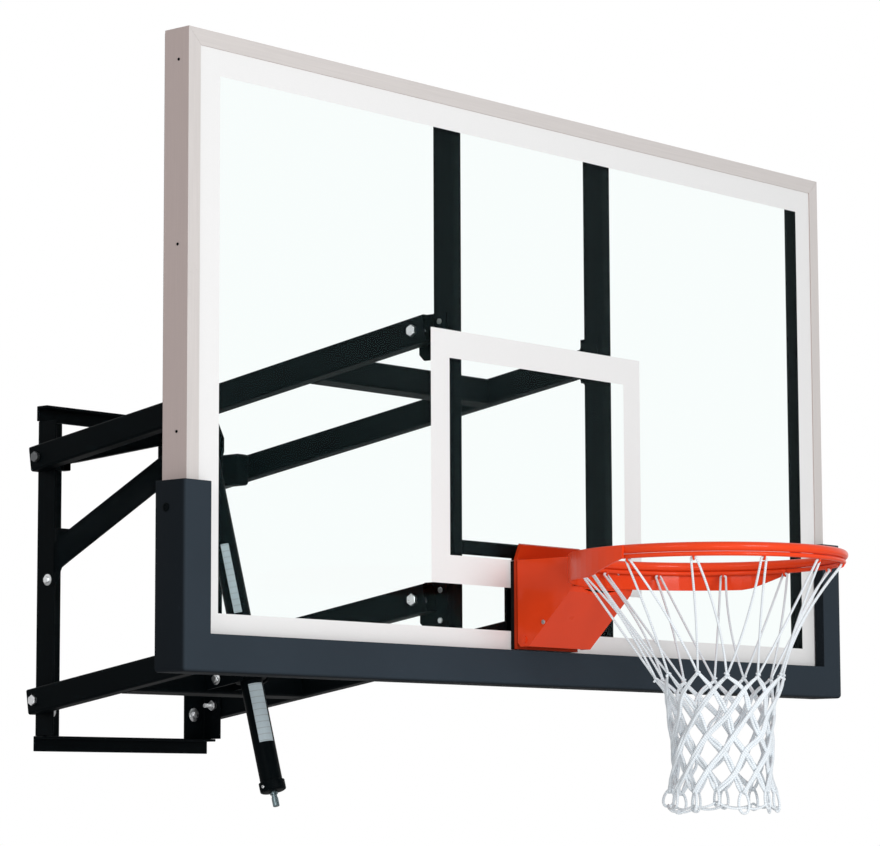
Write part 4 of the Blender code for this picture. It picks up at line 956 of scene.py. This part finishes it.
# The net's radius in inches at shares of the way down from the first knots to the last
NET_SHAPE = ((0.0, 4.4), (0.13, 3.95), (0.33, 3.6), (0.5, 3.45), (0.8, 3.35), (1.0, 3.55))
NET_TWIST = math.radians(-2.2)  # each row against the one above it
SECOND_ROW = 0.8  # the second row hangs closer under the first
# How far a crossing may stand off its place: in radians, as a share of its radius, in metres
KNOT_ANGLE, KNOT_RADIUS, KNOT_LEVEL = 0.065, 0.03, 0.0045
SEGMENT = 8  # points from one crossing to the next
OVER, UNDER = 0.0018, -0.0022  # how far the crossing cords stand off the net's face


def net_radius(share):
    """Radius from the first knots, at 0, down to the last, at 1."""
    for (start, first), (end, second) in zip(NET_SHAPE, NET_SHAPE[1:]):
        if share <= end:
            return (first + (second - first) * (share - start) / (end - start)) * INCH
    return NET_SHAPE[-1][1] * INCH


def smooth_path(knots, steps):
    """Points of a smooth curve that passes through the knots."""
    points = []
    for k in range(len(knots) - 1):
        before = knots[max(k - 1, 0)]
        a, b = knots[k], knots[k + 1]
        after = knots[min(k + 2, len(knots) - 1)]
        for step in range(steps):
            t = step / steps
            points.append(
                0.5
                * (
                    2 * a
                    + (b - before) * t
                    + (2 * before - 5 * a + 4 * b - after) * t ** 2
                    + (3 * a - before - 3 * b + after) * t ** 3
                )
            )
    points.append(knots[-1].copy())
    return points


class HOOP_OT_net(bpy.types.Operator):
    """Ties the net: loops on the hooks, long strands, crossing doubled cords and hem loops"""

    bl_idname = "hoop.net"
    bl_label = "Net"

    def execute(self, context):
        sizes = context.scene.hoop_net
        chance = random.Random(7)
        hooks, rows, thick = sizes.hooks, sizes.rows, sizes.cord
        thin = thick * 0.75
        pitch = 2 * math.pi / hooks
        axis = Vector((sizes.sway, RING_CENTRE.y - sizes.sway, 0.0))

        def place(radius, angle, level):
            around = level_way(angle) * radius
            return Vector((axis.x + around.x, axis.y + around.y, PANE.z + level))

        def outward(point):
            return Vector((point.x - axis.x, point.y - axis.y, 0.0)).normalized()

        # The top loops sit in the hooks, which stand round the ring's own axis.
        hang = ROD_LEVEL - (HOOK_DROP + HOOK_BEND - HOOK_WIRE) * INCH + thin
        loops = []
        for hook in range(hooks):
            around = level_way(pitch * hook) * (RING_RADIUS - HOOK_BEND * INCH)
            loops.append(Vector((around.x, RING_CENTRE.y + around.y, hang)))
        knots = []
        for row in range(rows):
            share = row / (rows - 1)
            fallen = share * (SECOND_ROW if row == 1 else 1.0)
            level = sizes.first_knots + (sizes.last_knots - sizes.first_knots) * fallen
            offset = 0.5 if row % 2 == 0 else 0.0
            twist = NET_TWIST * row
            line = []
            for k in range(hooks):
                angle = pitch * (k + offset) + twist + chance.uniform(-KNOT_ANGLE, KNOT_ANGLE)
                radius = net_radius(share) * (1 + chance.uniform(-KNOT_RADIUS, KNOT_RADIUS))
                height = level + chance.uniform(-KNOT_LEVEL, KNOT_LEVEL)
                line.append(place(radius, angle, height))
            knots.append(line)

        def cords(mesh, layer, path, lift, radius, gap):
            """Two cords side by side along a path, which part a little between its crossings."""
            core = smooth_path([point + outward(point) * lift for point in path], SEGMENT)
            lean = chance.uniform(-0.3, 0.3)
            for way in (-1, 1):
                points, sizes_along = [], []
                for k, point in enumerate(core):
                    run = (core[min(k + 1, len(core) - 1)] - core[max(k - 1, 0)]).normalized()
                    out = outward(point)
                    side = run.cross(out).normalized()
                    phase = math.pi * (k % SEGMENT) / SEGMENT
                    start = min(k / (1.5 * SEGMENT), 1.0)
                    spread = radius * (0.3 + 0.42 * start + gap * start * math.sin(phase) ** 2)
                    turn = lean + 0.5 * math.sin(k / SEGMENT * 2.2 + lean * 9)
                    apart = side * math.cos(turn) + out * math.sin(turn)
                    points.append(point + apart * spread * way)
                    uneven = 1 + 0.06 * math.sin(k * 1.7 + way)
                    sizes_along.append(radius * (0.6 + 0.4 * start) * uneven)
                add_tube(mesh, layer, points, sizes_along, 8)

        def fill(mesh, layer):
            for hook in range(hooks):
                top = loops[hook]
                angle = pitch * hook
                side = Vector((-math.sin(angle), math.cos(angle), 0.0))
                for end, way in ((knots[0][hook - 1], -1), (knots[0][hook], 1)):
                    points = []
                    for k in range(5):
                        t = math.pi / 2 * k / 4
                        drop = Vector((0, 0, -0.002 * (1 - math.cos(t))))
                        points.append(top + side * (way * 0.0048 * math.sin(t)) + drop)
                    start = points[-1]
                    middle = (start + end) / 2
                    slack = outward(middle) * chance.uniform(-0.017, 0.005)
                    slack += side * chance.uniform(-0.009, 0.009)
                    for k in range(1, 15):
                        t = k / 14
                        points.append(start.lerp(end, t) + slack * 4 * t * (1 - t))
                    add_tube(mesh, layer, points, thin, 8)
            for k in range(hooks):
                falling, rising = [knots[0][k]], [knots[0][k]]
                a = b = k
                for row in range(1, rows):
                    if row % 2:
                        b = (b + 1) % hooks
                    else:
                        a = (a - 1) % hooks
                    falling.append(knots[row][a])
                    rising.append(knots[row][b])
                cords(mesh, layer, falling, OVER, thick * 1.06, 0.05)
                cords(mesh, layer, rising, UNDER, thick, 0.65 + chance.uniform(-0.35, 0.35))
                # A wrap of cord where the two long strands meet.
                centre = knots[0][k]
                out = outward(centre)
                side = out.cross(Vector((0, 0, 1)))
                wrap = []
                for step in range(15):
                    t = 2 * math.pi * step / 11
                    wrap.append(
                        centre
                        + side * (thick * 1.25 * math.cos(t))
                        + out * (thick * 1.25 * math.sin(t))
                        + Vector((0, 0, 0.0045 - 0.0006 * step))
                    )
                add_tube(mesh, layer, wrap, thin * 0.9, 7)
            tips = []
            for k in range(hooks):
                centre = knots[-1][k]
                out = outward(centre)
                yaw = chance.uniform(-1.2, 1.2)
                side = out.cross(Vector((0, 0, 1))) * math.cos(yaw) + out * math.sin(yaw)
                wide = 0.0095 + chance.uniform(-0.002, 0.002)
                drop = sizes.hem_drop * chance.uniform(0.8, 1.15)
                loop = []
                for step in range(21):
                    t = 2 * math.pi * step / 20
                    loop.append(
                        centre
                        + side * (wide * math.sin(t) * (1 - 0.25 * math.cos(t)))
                        + Vector((0, 0, 0.004 - drop / 2 * (1 - math.cos(t))))
                        + out * (0.004 * (1 - math.cos(t)) / 2)
                    )
                add_tube(mesh, layer, loop, thick * 0.85, 8)
                fall = drop * chance.uniform(0.55, 0.8)
                tips.append(centre + out * 0.003 + Vector((0, 0, -fall)))
            for k in range(hooks):
                first, second = tips[k], tips[(k + 1) % hooks]
                points = []
                for step in range(11):
                    t = step / 10
                    sag = Vector((0, 0, -0.006 * 4 * t * (1 - t)))
                    point = first.lerp(second, t) + sag
                    points.append(point + outward(point) * 0.004 * math.sin(math.pi * t))
                add_tube(mesh, layer, points, thin, 7)

        net = cord_piece("tied_net", fill)
        dressed(net, "rim", FINISHES["cord"], "net", "net")
        return {"FINISHED"}


# Jack


INNER_RADIUS = 0.875 * INCH
OUTER_RADIUS = 0.95 * INCH
# Stations are measured from the jack's pin along its axis.
PIVOT_STATION = 19.579 * INCH
OUTER_START = 1.0 * INCH
OUTER_END = PIVOT_STATION - 1.18 * INCH
INNER_START = 4.65 * INCH
CAP_START = PIVOT_STATION + 8.47 * INCH
CAP_FACE = CAP_START + 0.3 * INCH  # the collar shows from here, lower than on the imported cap
CAP_END = CAP_START + 1.1 * INCH
CAP_RADIUS = INNER_RADIUS + 0.145 * INCH
EYE_RADIUS = 0.7 * INCH
EYE_HALF = 0.6 * INCH
SCREW_RADIUS = 0.34 * INCH
SCREW_START = 12.5 * INCH
STUB_RADIUS = 0.26 * INCH
STUB_START = CAP_END - 0.8 * INCH
STUB_END = CAP_END + 1.2 * INCH
CHAMFER = 0.0008
LABEL_RISE = 0.0001
LABELS = (  # name, body, tube's radius, ends in inches, half angle, direction that it faces
    ("upper", "jack_upper", OUTER_RADIUS, (9.1, 14.8), 0.34, (-0.72, -0.69, 0.0)),
    ("lower", "jack_lower", INNER_RADIUS, (20.6, 25.3), 0.7, (-0.436, -0.9, 0.0)),
)


def on_jack(made, station=0.0):
    """Moves a piece drawn along +Z onto the jack's axis, station metres below its pin."""
    return placed(made, JACK_PIN + JACK_RUN * station, JACK_RUN)


def label_patch(name, radius, start, end, half_angle, facing):
    """A thin label wrapped on a tube, made by bending a flat grid round it."""
    alone()
    bpy.ops.mesh.primitive_grid_add(x_subdivisions=10, y_subdivisions=2, size=1, location=(0, 0, 0))
    made = bpy.context.object
    made.name = name
    mesh = bmesh.new()
    mesh.from_mesh(made.data)
    for vertex in mesh.verts:
        angle = facing + 2 * vertex.co.x * half_angle
        along = (start + end) / 2 + vertex.co.y * (end - start)
        vertex.co = Vector((radius * math.cos(angle), radius * math.sin(angle), along))
    bmesh.ops.recalc_face_normals(mesh, faces=mesh.faces)
    mesh.to_mesh(made.data)
    mesh.free()
    solid = made.modifiers.new("film", "SOLIDIFY")
    solid.thickness = LABEL_RISE
    solid.offset = 1.0
    alone(made)
    bpy.ops.object.modifier_apply(modifier="film")
    return made


class HOOP_OT_jack(bpy.types.Operator):
    """Turns the jack's tubes, cap and crank stub, and sticks its two labels on"""

    bl_idname = "hoop.jack"
    bl_label = "Screw jack"

    def execute(self, context):
        black = FINISHES["black"]
        profile = [
            (OUTER_RADIUS * 0.93, OUTER_START),
            (OUTER_RADIUS, OUTER_START + 0.001),
            (OUTER_RADIUS, OUTER_END - CHAMFER),
            (OUTER_RADIUS - CHAMFER, OUTER_END),
            (INNER_RADIUS + 0.0004, OUTER_END),
        ]
        tube = turned("turned_outer_tube", profile, 64)
        eye = block(
            "jack_eye",
            (-EYE_HALF, EYE_HALF),
            (-EYE_RADIUS, EYE_RADIUS),
            (-0.1 * INCH, 1.3 * INCH),
            0.12 * INCH,
            4,
        )
        profile = [
            (EYE_RADIUS - 0.08 * INCH, -EYE_HALF),
            (EYE_RADIUS, 0.05 * INCH - EYE_HALF),
            (EYE_RADIUS, EYE_HALF - 0.05 * INCH),
            (EYE_RADIUS - 0.08 * INCH, EYE_HALF),
        ]
        crown = placed(turned("jack_eye_crown", profile, 48), (0, 0, 0), (1, 0, 0))
        made = on_jack(tidy_mesh(joined("turned_outer_tube", [tube, eye, crown])))
        dressed(made, "jack_upper", black, "black", "jack_outer_tube")
        profile = [
            (INNER_RADIUS - 0.001, INNER_START),
            (INNER_RADIUS, INNER_START + 0.001),
            (INNER_RADIUS, CAP_FACE + 0.3 * INCH),
        ]
        made = turned("turned_inner_tube", profile, 64)
        dressed(on_jack(tidy_mesh(made)), "jack_lower", black, "black", "jack_inner_tube")
        profile = [
            (INNER_RADIUS + 0.0005, CAP_FACE),
            (CAP_RADIUS - 0.0006, CAP_FACE),
            (CAP_RADIUS, CAP_FACE + 0.0006),
            (CAP_RADIUS, CAP_END - 0.003),
            (CAP_RADIUS - 0.0008, CAP_END - 0.0014),
            (CAP_RADIUS - 0.0032, CAP_END),
            (STUB_RADIUS + 0.11 * INCH, CAP_END),
            (STUB_RADIUS + 0.09 * INCH, CAP_END - CHAMFER),
            (STUB_RADIUS + 0.02 * INCH, CAP_END - CHAMFER),
        ]
        made = turned("turned_cap", profile, 64)
        dressed(on_jack(tidy_mesh(made)), "jack_lower", black, "black", "jack_cap")
        collar, groove = STUB_RADIUS * 1.18, STUB_RADIUS * 0.86
        profile = [
            (SCREW_RADIUS, SCREW_START),
            (SCREW_RADIUS, STUB_START),
            (STUB_RADIUS, STUB_START),
            (STUB_RADIUS, CAP_END + 0.001),
            (collar, CAP_END + 0.0012),
            (collar, CAP_END + 0.006),
            (groove, CAP_END + 0.0068),
            (groove, CAP_END + 0.012),
            (STUB_RADIUS, CAP_END + 0.0128),
            (STUB_RADIUS, STUB_END - 0.0014),
            (STUB_RADIUS - 0.0012, STUB_END),
        ]
        made = turned("turned_screw", profile, 48)
        dressed(on_jack(tidy_mesh(made)), "crank", FINISHES["oiled"], "zinc", "crank_screw")
        to_axis = JACK_RUN.to_track_quat("Z", "Y").inverted()
        for name, body, radius, stations, half_angle, way in LABELS:
            start, end = (station * INCH for station in stations)
            local = to_axis @ Vector(way)
            facing = math.atan2(local.y, local.x)
            label = label_patch(
                "jack_label_" + name, radius + LABEL_RISE, start, end, half_angle, facing
            )
            dressed(on_jack(label), body, FINISHES["label"], "net")
        profile = [
            (0.0032, -0.0004),
            (0.0032, 0.0026),
            (0.0026, 0.0034),
            (0.0014, 0.0034),
            (0.0012, 0.0018),
        ]
        screw = tidy_mesh(turned("cap_screw", profile, 24))
        way = Vector((-1.0, 0.0, 0.0))
        spot = JACK_PIN + JACK_RUN * (CAP_START + 0.72 * INCH) + way * (CAP_RADIUS - 0.0012)
        dressed(placed(screw, spot, way), "jack_lower", FINISHES["zinc"], "zinc")
        return {"FINISHED"}


# Bolts


WASHER_DEPTH = 0.0016
THREAD_PITCH = 0.0012
PIVOT_ACROSS = 0.75 * INCH
PIVOT_HEAD = 0.32 * INCH
PIVOT_RADIUS = 0.25 * INCH
PIVOT_END = 0.12 * INCH  # thread that shows past the nut
LONG_END = 0.8 * INCH  # the same on the lower bolts at the wall
SMALL_BOLTS = {  # body, across the flats, head's height, washer's radius
    "wall_lag_bolts": ("wall_frame", 0.0143, 0.0065, 0.0145),
    "strut_bolts": ("wall_frame", 0.0127, 0.0055, 0.0115),
    "bracket_bolts": ("board", 0.0095, 0.0026, 0.0),
    "rim_side_bolts": ("rim", 0.0075, 0.0026, 0.0),
    "lug_bolts": ("lower_arms", 0.0127, 0.0055, 0.0115),
}
BRACKET_FACE = 9.3 * INCH + 0.0003
BRACES = (  # kind, foot, head, middle to lower face, a corner of the foot's cut and its direction
    ("strut", STRUT_FOOT, STRUT_HEAD, 1.02, (8.45, 0.0, 1.3), (1.0, 0.0, 0.47)),
    ("tie", TIE_FOOT, TIE_HEAD, 0.77, (0.0, -2.75, 0.0), (0.0, 1.0, 0.0)),
)
TIE_BLOCK = ((7.85, 9.3), (-5.2, -2.3), (8.35, 10.95))  # inches


def hex_head(name, across, height):
    """A bolt head drawn up +Z from a washer face, with a chamfered top."""
    radius = across / math.sqrt(3)
    head = turned(name, [(radius, 0.0004), (radius, height * 0.86), (radius * 0.9, height)], 6)
    profile = [(across * 0.5, 0.0), (across * 0.5, 0.0004), (across * 0.42, 0.0006)]
    face = turned(name + "_face", profile, 32)
    return tidy_mesh(joined(name, [head, face]), 30)


def washer(name, radius):
    profile = [
        (radius - 0.0002, 0.0),
        (radius, 0.0002),
        (radius, WASHER_DEPTH - 0.0002),
        (radius - 0.0003, WASHER_DEPTH),
    ]
    return tidy_mesh(turned(name, profile, 40))


def bolts_at(name, spots, across, height, washer_radius=0.0, tail=0.0):
    """Hexagon heads, each with a washer or a threaded tail, at (place, direction) pairs."""
    pattern = [hex_head("pattern_head", across, height)]
    if washer_radius:
        plate = washer("pattern_washer", washer_radius)
        pattern[0].data.transform(Matrix.Translation((0, 0, WASHER_DEPTH)))
        pattern.append(plate)
    if tail:
        profile = [(across * 0.27, height)]
        for k in range(1, int(tail / THREAD_PITCH)):
            profile.append((across * (0.24 if k % 2 else 0.27), height + k * THREAD_PITCH))
        pattern.append(tidy_mesh(turned("pattern_tail", profile, 24)))
    model = joined("pattern_bolt", pattern) if len(pattern) > 1 else pattern[0]
    copies = []
    for count, (spot, way) in enumerate(spots):
        turn = Vector(way).to_track_quat("Z", "Y").to_matrix().to_4x4()
        twist = Matrix.Rotation(0.4 * count, 4, "Z")
        copies.append(copy_of(model, f"{name}_{count}", Matrix.Translation(spot) @ turn @ twist))
    bpy.data.objects.remove(model)
    return joined(name, copies)


class HOOP_OT_pivot_bolts(bpy.types.Operator):
    """Makes each pivot bolt with its head, shank, nut and threaded end"""

    bl_idname = "hoop.pivot_bolts"
    bl_label = "Pivot bolts"

    def execute(self, context):
        for start, body in (("wall_pivot_bolt", "wall_frame"), ("board_pivot_bolt", "board")):
            for level in ("upper", "lower"):
                kind = f"{start}_{level}"
                tail = LONG_END if kind == "wall_pivot_bolt_lower" else PIVOT_END
                # The upper wall pivot bolts take a much darker, rougher zinc than the other bolts.
                finish = FINISHES["dull" if kind == "wall_pivot_bolt_upper" else "zinc"]
                for name, side in SIDES.items():
                    low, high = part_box(f"{kind}_{name}")
                    y, z = (low[1] + high[1]) / 2, (low[2] + high[2]) / 2
                    outer, inner = (high[0], low[0]) if side > 0 else (-low[0], -high[0])
                    seat, nut_face = outer - PIVOT_HEAD, inner + PIVOT_END + PIVOT_HEAD
                    at_seat = (Vector((side * seat, y, z)), (side, 0, 0))
                    at_nut = (Vector((side * nut_face, y, z)), (-side, 0, 0))
                    head = bolts_at("head", [at_seat], PIVOT_ACROSS, PIVOT_HEAD)
                    nut = bolts_at("nut", [at_nut], PIVOT_ACROSS, PIVOT_HEAD, tail=tail)
                    profile = [(PIVOT_RADIUS, 0.0), (PIVOT_RADIUS, seat - nut_face)]
                    shank = placed(turned("shank", profile, 32), at_nut[0], (side, 0, 0))
                    made = joined(f"fine_{kind}_{name}", [tidy_mesh(shank), head, nut])
                    dressed(made, body, finish, "zinc", f"{kind}_{name}")
        return {"FINISHED"}


def trimmed(name, source, foot, head, drop, corner, lean):
    """A copy of a brace whose foot keeps, under the lower face, only what lies behind a plane."""
    run = (head - foot).normalized()
    up = run.cross(Vector((0.0, 0.0, 1.0)).cross(run).normalized()).normalized()
    under = foot - up * drop
    pieces = []
    for part, cuts in (("bar", [(under, up)]), ("foot", [(under, -up), (corner, lean)])):
        made = copy_of(source, f"{name}_{part}", source.matrix_world.copy())
        made.matrix_world = Matrix.Identity(4)
        alone(made)
        for spot, keep in cuts:
            bpy.ops.object.mode_set(mode="EDIT")
            bpy.ops.mesh.select_all(action="SELECT")
            bpy.ops.mesh.bisect(plane_co=spot, plane_no=keep, use_fill=True, clear_inner=True)
            object_mode()
        pieces.append(made)
    return joined(name, pieces)


class HOOP_OT_struts(bpy.types.Operator):
    """Trims the feet of the struts and ties, and sets the larger block on the right tie"""

    bl_idname = "hoop.struts"
    bl_label = "Strut and tie feet"

    def execute(self, context):
        for name, side in SIDES.items():
            turn = Matrix.Diagonal((side, 1.0, 1.0, 1.0))
            for kind, foot, head, drop, corner, lean in BRACES:
                made = trimmed(
                    f"trimmed_{kind}_{name}",
                    frame["nodes"][f"jack_{kind}_{name}"],
                    turn @ foot,
                    turn @ head,
                    drop * INCH,
                    turn @ (Vector(corner) * INCH),
                    turn @ Vector(lean).normalized(),
                )
                if (kind, name) == ("tie", "right"):
                    spans = [[value * INCH for value in span] for span in TIE_BLOCK]
                    larger = block("tie_block", *spans, 0.3 * INCH, 4)
                    made = joined("trimmed_tie_right", [made, larger])
                black = FINISHES["black"]
                dressed(tidy_mesh(made), "wall_frame", black, "black", f"jack_{kind}_{name}")
        return {"FINISHED"}


def both_sides(x, y, z, way):
    """A place in inches and a direction, on the left side and then on the right."""
    return [
        (Vector((side * x, y, z)) * INCH, (side * way[0], way[1], way[2])) for side in (-1, 1)
    ]


class HOOP_OT_fasteners(bpy.types.Operator):
    """Sets the small bolts of the wall frame, the brackets, the rim and the lower cross tube"""

    bl_idname = "hoop.fasteners"
    bl_label = "Small fasteners"

    def execute(self, context):
        rail = -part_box("wall_rail_left")[0][0] / INCH
        brackets = []
        for level in ("upper", "lower"):
            for name, side in SIDES.items():
                low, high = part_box(f"board_pivot_bolt_{level}_{name}")
                z = (low[2] + high[2]) / 2
                for step in (-1.45, 0.7):
                    spot = (side * BRACKET_FACE, PANE.y + 1.6 * INCH, z + step * INCH)
                    brackets.append((Vector(spot), (side, 0, 0)))
        spots = {
            "wall_lag_bolts": [
                (Vector((side * x, -0.2, z)) * INCH, (0, -1, 0))
                for side in (-1, 1)
                for x, z in ((7.95, -10.5), (8.45, 11.9))
            ],
            "strut_bolts": both_sides(rail, -1.3, -0.22, (1, 0, 0)),
            "bracket_bolts": brackets,
            "rim_side_bolts": both_sides(3.5, -47.12, -5.18, (1, 0, 0))
            + both_sides(1.83, -49.68, -1.58, (0.2, -0.98, 0.0)),
            "lug_bolts": both_sides(1.615, -12.4, -8.15, (1, 0, 0)),
        }
        for name, (body, across, height, washer_radius) in SMALL_BOLTS.items():
            made = bolts_at(name, spots[name], across, height, washer_radius)
            dressed(made, body, FINISHES["zinc"], "zinc")
        return {"FINISHED"}


class HOOP_OT_springs(bpy.types.Operator):
    """Copies the rim's springs into smooth-shaded pieces of their own that ride with the board"""

    bl_idname = "hoop.springs"
    bl_label = "Springs"

    def execute(self, context):
        for name in SIDES:
            node_name = "rim_spring_" + name
            source = frame["nodes"][node_name]
            made = copy_of(source, "coiled_spring_" + name, source.matrix_world.copy())
            made.matrix_world = Matrix.Identity(4)
            tidy_mesh(made)
            dressed(made, "board", source.data.materials[0], SLOTS[node_name], node_name)
            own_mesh(made)
        return {"FINISHED"}


# Stage


class HOOP_OT_stage(bpy.types.Operator):
    """Sets the camera, the lamps, the pale floor and the pale surroundings"""

    bl_idname = "hoop.stage"
    bl_label = "Stage"

    def execute(self, context):
        scene = context.scene
        ahead = Vector(
            (
                math.sin(CAMERA_AZIMUTH) * math.cos(CAMERA_ELEVATION),
                math.cos(CAMERA_AZIMUTH) * math.cos(CAMERA_ELEVATION),
                math.sin(CAMERA_ELEVATION),
            )
        )
        level = Vector((math.cos(CAMERA_AZIMUTH), -math.sin(CAMERA_AZIMUTH), 0.0))
        up = level.cross(ahead)
        right = level * math.cos(CAMERA_ROLL) + up * math.sin(CAMERA_ROLL)
        above = up * math.cos(CAMERA_ROLL) - level * math.sin(CAMERA_ROLL)
        data = bpy.data.cameras.new("photo_camera")
        data.sensor_width = SENSOR_WIDTH
        data.lens = FOCAL_PIXELS / PICTURE_WIDTH * SENSOR_WIDTH
        data.clip_end = 200.0
        camera = bpy.data.objects.new("photo_camera", data)
        turn = Matrix((right, above, -ahead)).transposed().to_4x4()
        camera.matrix_world = Matrix.Translation(CAMERA_PLACE) @ turn
        scene.collection.objects.link(camera)
        scene.camera = camera

        alone()
        bpy.ops.mesh.primitive_plane_add(size=60, location=(0, 0, -1.9))
        floor = bpy.context.object
        floor.name = "pale_floor"
        pale = Finish("pale_floor", 0.9)
        pale.shader.inputs["Base Color"].default_value = (0.92, 0.92, 0.92, 1.0)
        floor.data.materials.append(pale.material)

        world = bpy.data.worlds.new("studio")
        world.use_nodes = True
        tree = world.node_tree
        back = tree.nodes["Background"]
        rays = node(tree, "ShaderNodeLightPath")
        seen = rays.outputs["Is Camera Ray"]
        for ray in ("Is Transmission Ray", "Is Glossy Ray"):
            pair = {0: seen, 1: rays.outputs[ray]}
            seen = node(tree, "ShaderNodeMath", pair, operation="MAXIMUM").outputs[0]
        power = node(tree, "ShaderNodeMapRange", {"Value": seen, "To Min": 0.36, "To Max": 1.0})
        tree.links.new(power.outputs["Result"], back.inputs["Strength"])
        back.inputs["Color"].default_value = (1.0, 1.0, 1.0, 1.0)
        scene.world = world
        target = Vector((0.0, -0.9, 0.1))
        for name, spot, size, watts in (
            ("key_lamp", (-1.6, -7.4, 1.0), 2.2, 215.0),
            ("side_lamp", (-6.4, -2.6, 1.4), 2.4, 60.0),
            ("low_lamp", (-3.6, -5.6, -1.2), 1.2, 34.0),
        ):
            lamp = bpy.data.lights.new(name, "AREA")
            lamp.size = size
            lamp.energy = watts
            made = bpy.data.objects.new(name, lamp)
            made.location = spot
            made.rotation_euler = (target - Vector(spot)).to_track_quat("-Z", "Y").to_euler()
            scene.collection.objects.link(made)
        scene.view_settings.view_transform = "Standard"
        return {"FINISHED"}


OPERATORS = (
    HOOP_OT_stage,
    HOOP_OT_finishes,
    HOOP_OT_board_print,
    HOOP_OT_board_screws,
    HOOP_OT_edge_pad,
    HOOP_OT_ring,
    HOOP_OT_net,
    HOOP_OT_jack,
    HOOP_OT_pivot_bolts,
    HOOP_OT_struts,
    HOOP_OT_fasteners,
    HOOP_OT_springs,
)


class HOOP_PT_panel(bpy.types.Panel):
    """Lists the hoop's pieces and the sizes that they use"""

    bl_label = "Wall-mounted hoop"
    bl_idname = "HOOP_PT_panel"
    bl_space_type = "VIEW_3D"
    bl_region_type = "UI"
    bl_category = "Hoop"

    def draw(self, context):
        for store in (context.scene.hoop_paint, context.scene.hoop_net, context.scene.hoop_board):
            for name in store.__annotations__:
                self.layout.prop(store, name)
        for operator in OPERATORS:
            self.layout.operator(operator.bl_idname)


CLASSES = (HoopPaint, HoopNet, HoopBoard, *OPERATORS, HOOP_PT_panel)


def register():
    for made in CLASSES:
        bpy.utils.register_class(made)
    bpy.types.Scene.hoop_paint = PointerProperty(type=HoopPaint)
    bpy.types.Scene.hoop_net = PointerProperty(type=HoopNet)
    bpy.types.Scene.hoop_board = PointerProperty(type=HoopBoard)


def unregister():
    for name in ("hoop_paint", "hoop_net", "hoop_board"):
        delattr(bpy.types.Scene, name)
    for made in reversed(CLASSES):
        bpy.utils.unregister_class(made)


def main():
    register()
    bpy.ops.hoop.stage()
    bpy.ops.hoop.finishes()
    bpy.ops.hoop.board_print()
    bpy.ops.hoop.board_screws()
    bpy.ops.hoop.edge_pad()
    bpy.ops.hoop.ring()
    bpy.ops.hoop.net()
    bpy.ops.hoop.jack()
    bpy.ops.hoop.pivot_bolts()
    bpy.ops.hoop.struts()
    bpy.ops.hoop.fasteners()
    bpy.ops.hoop.springs()


if __name__ == "__main__":
    main()
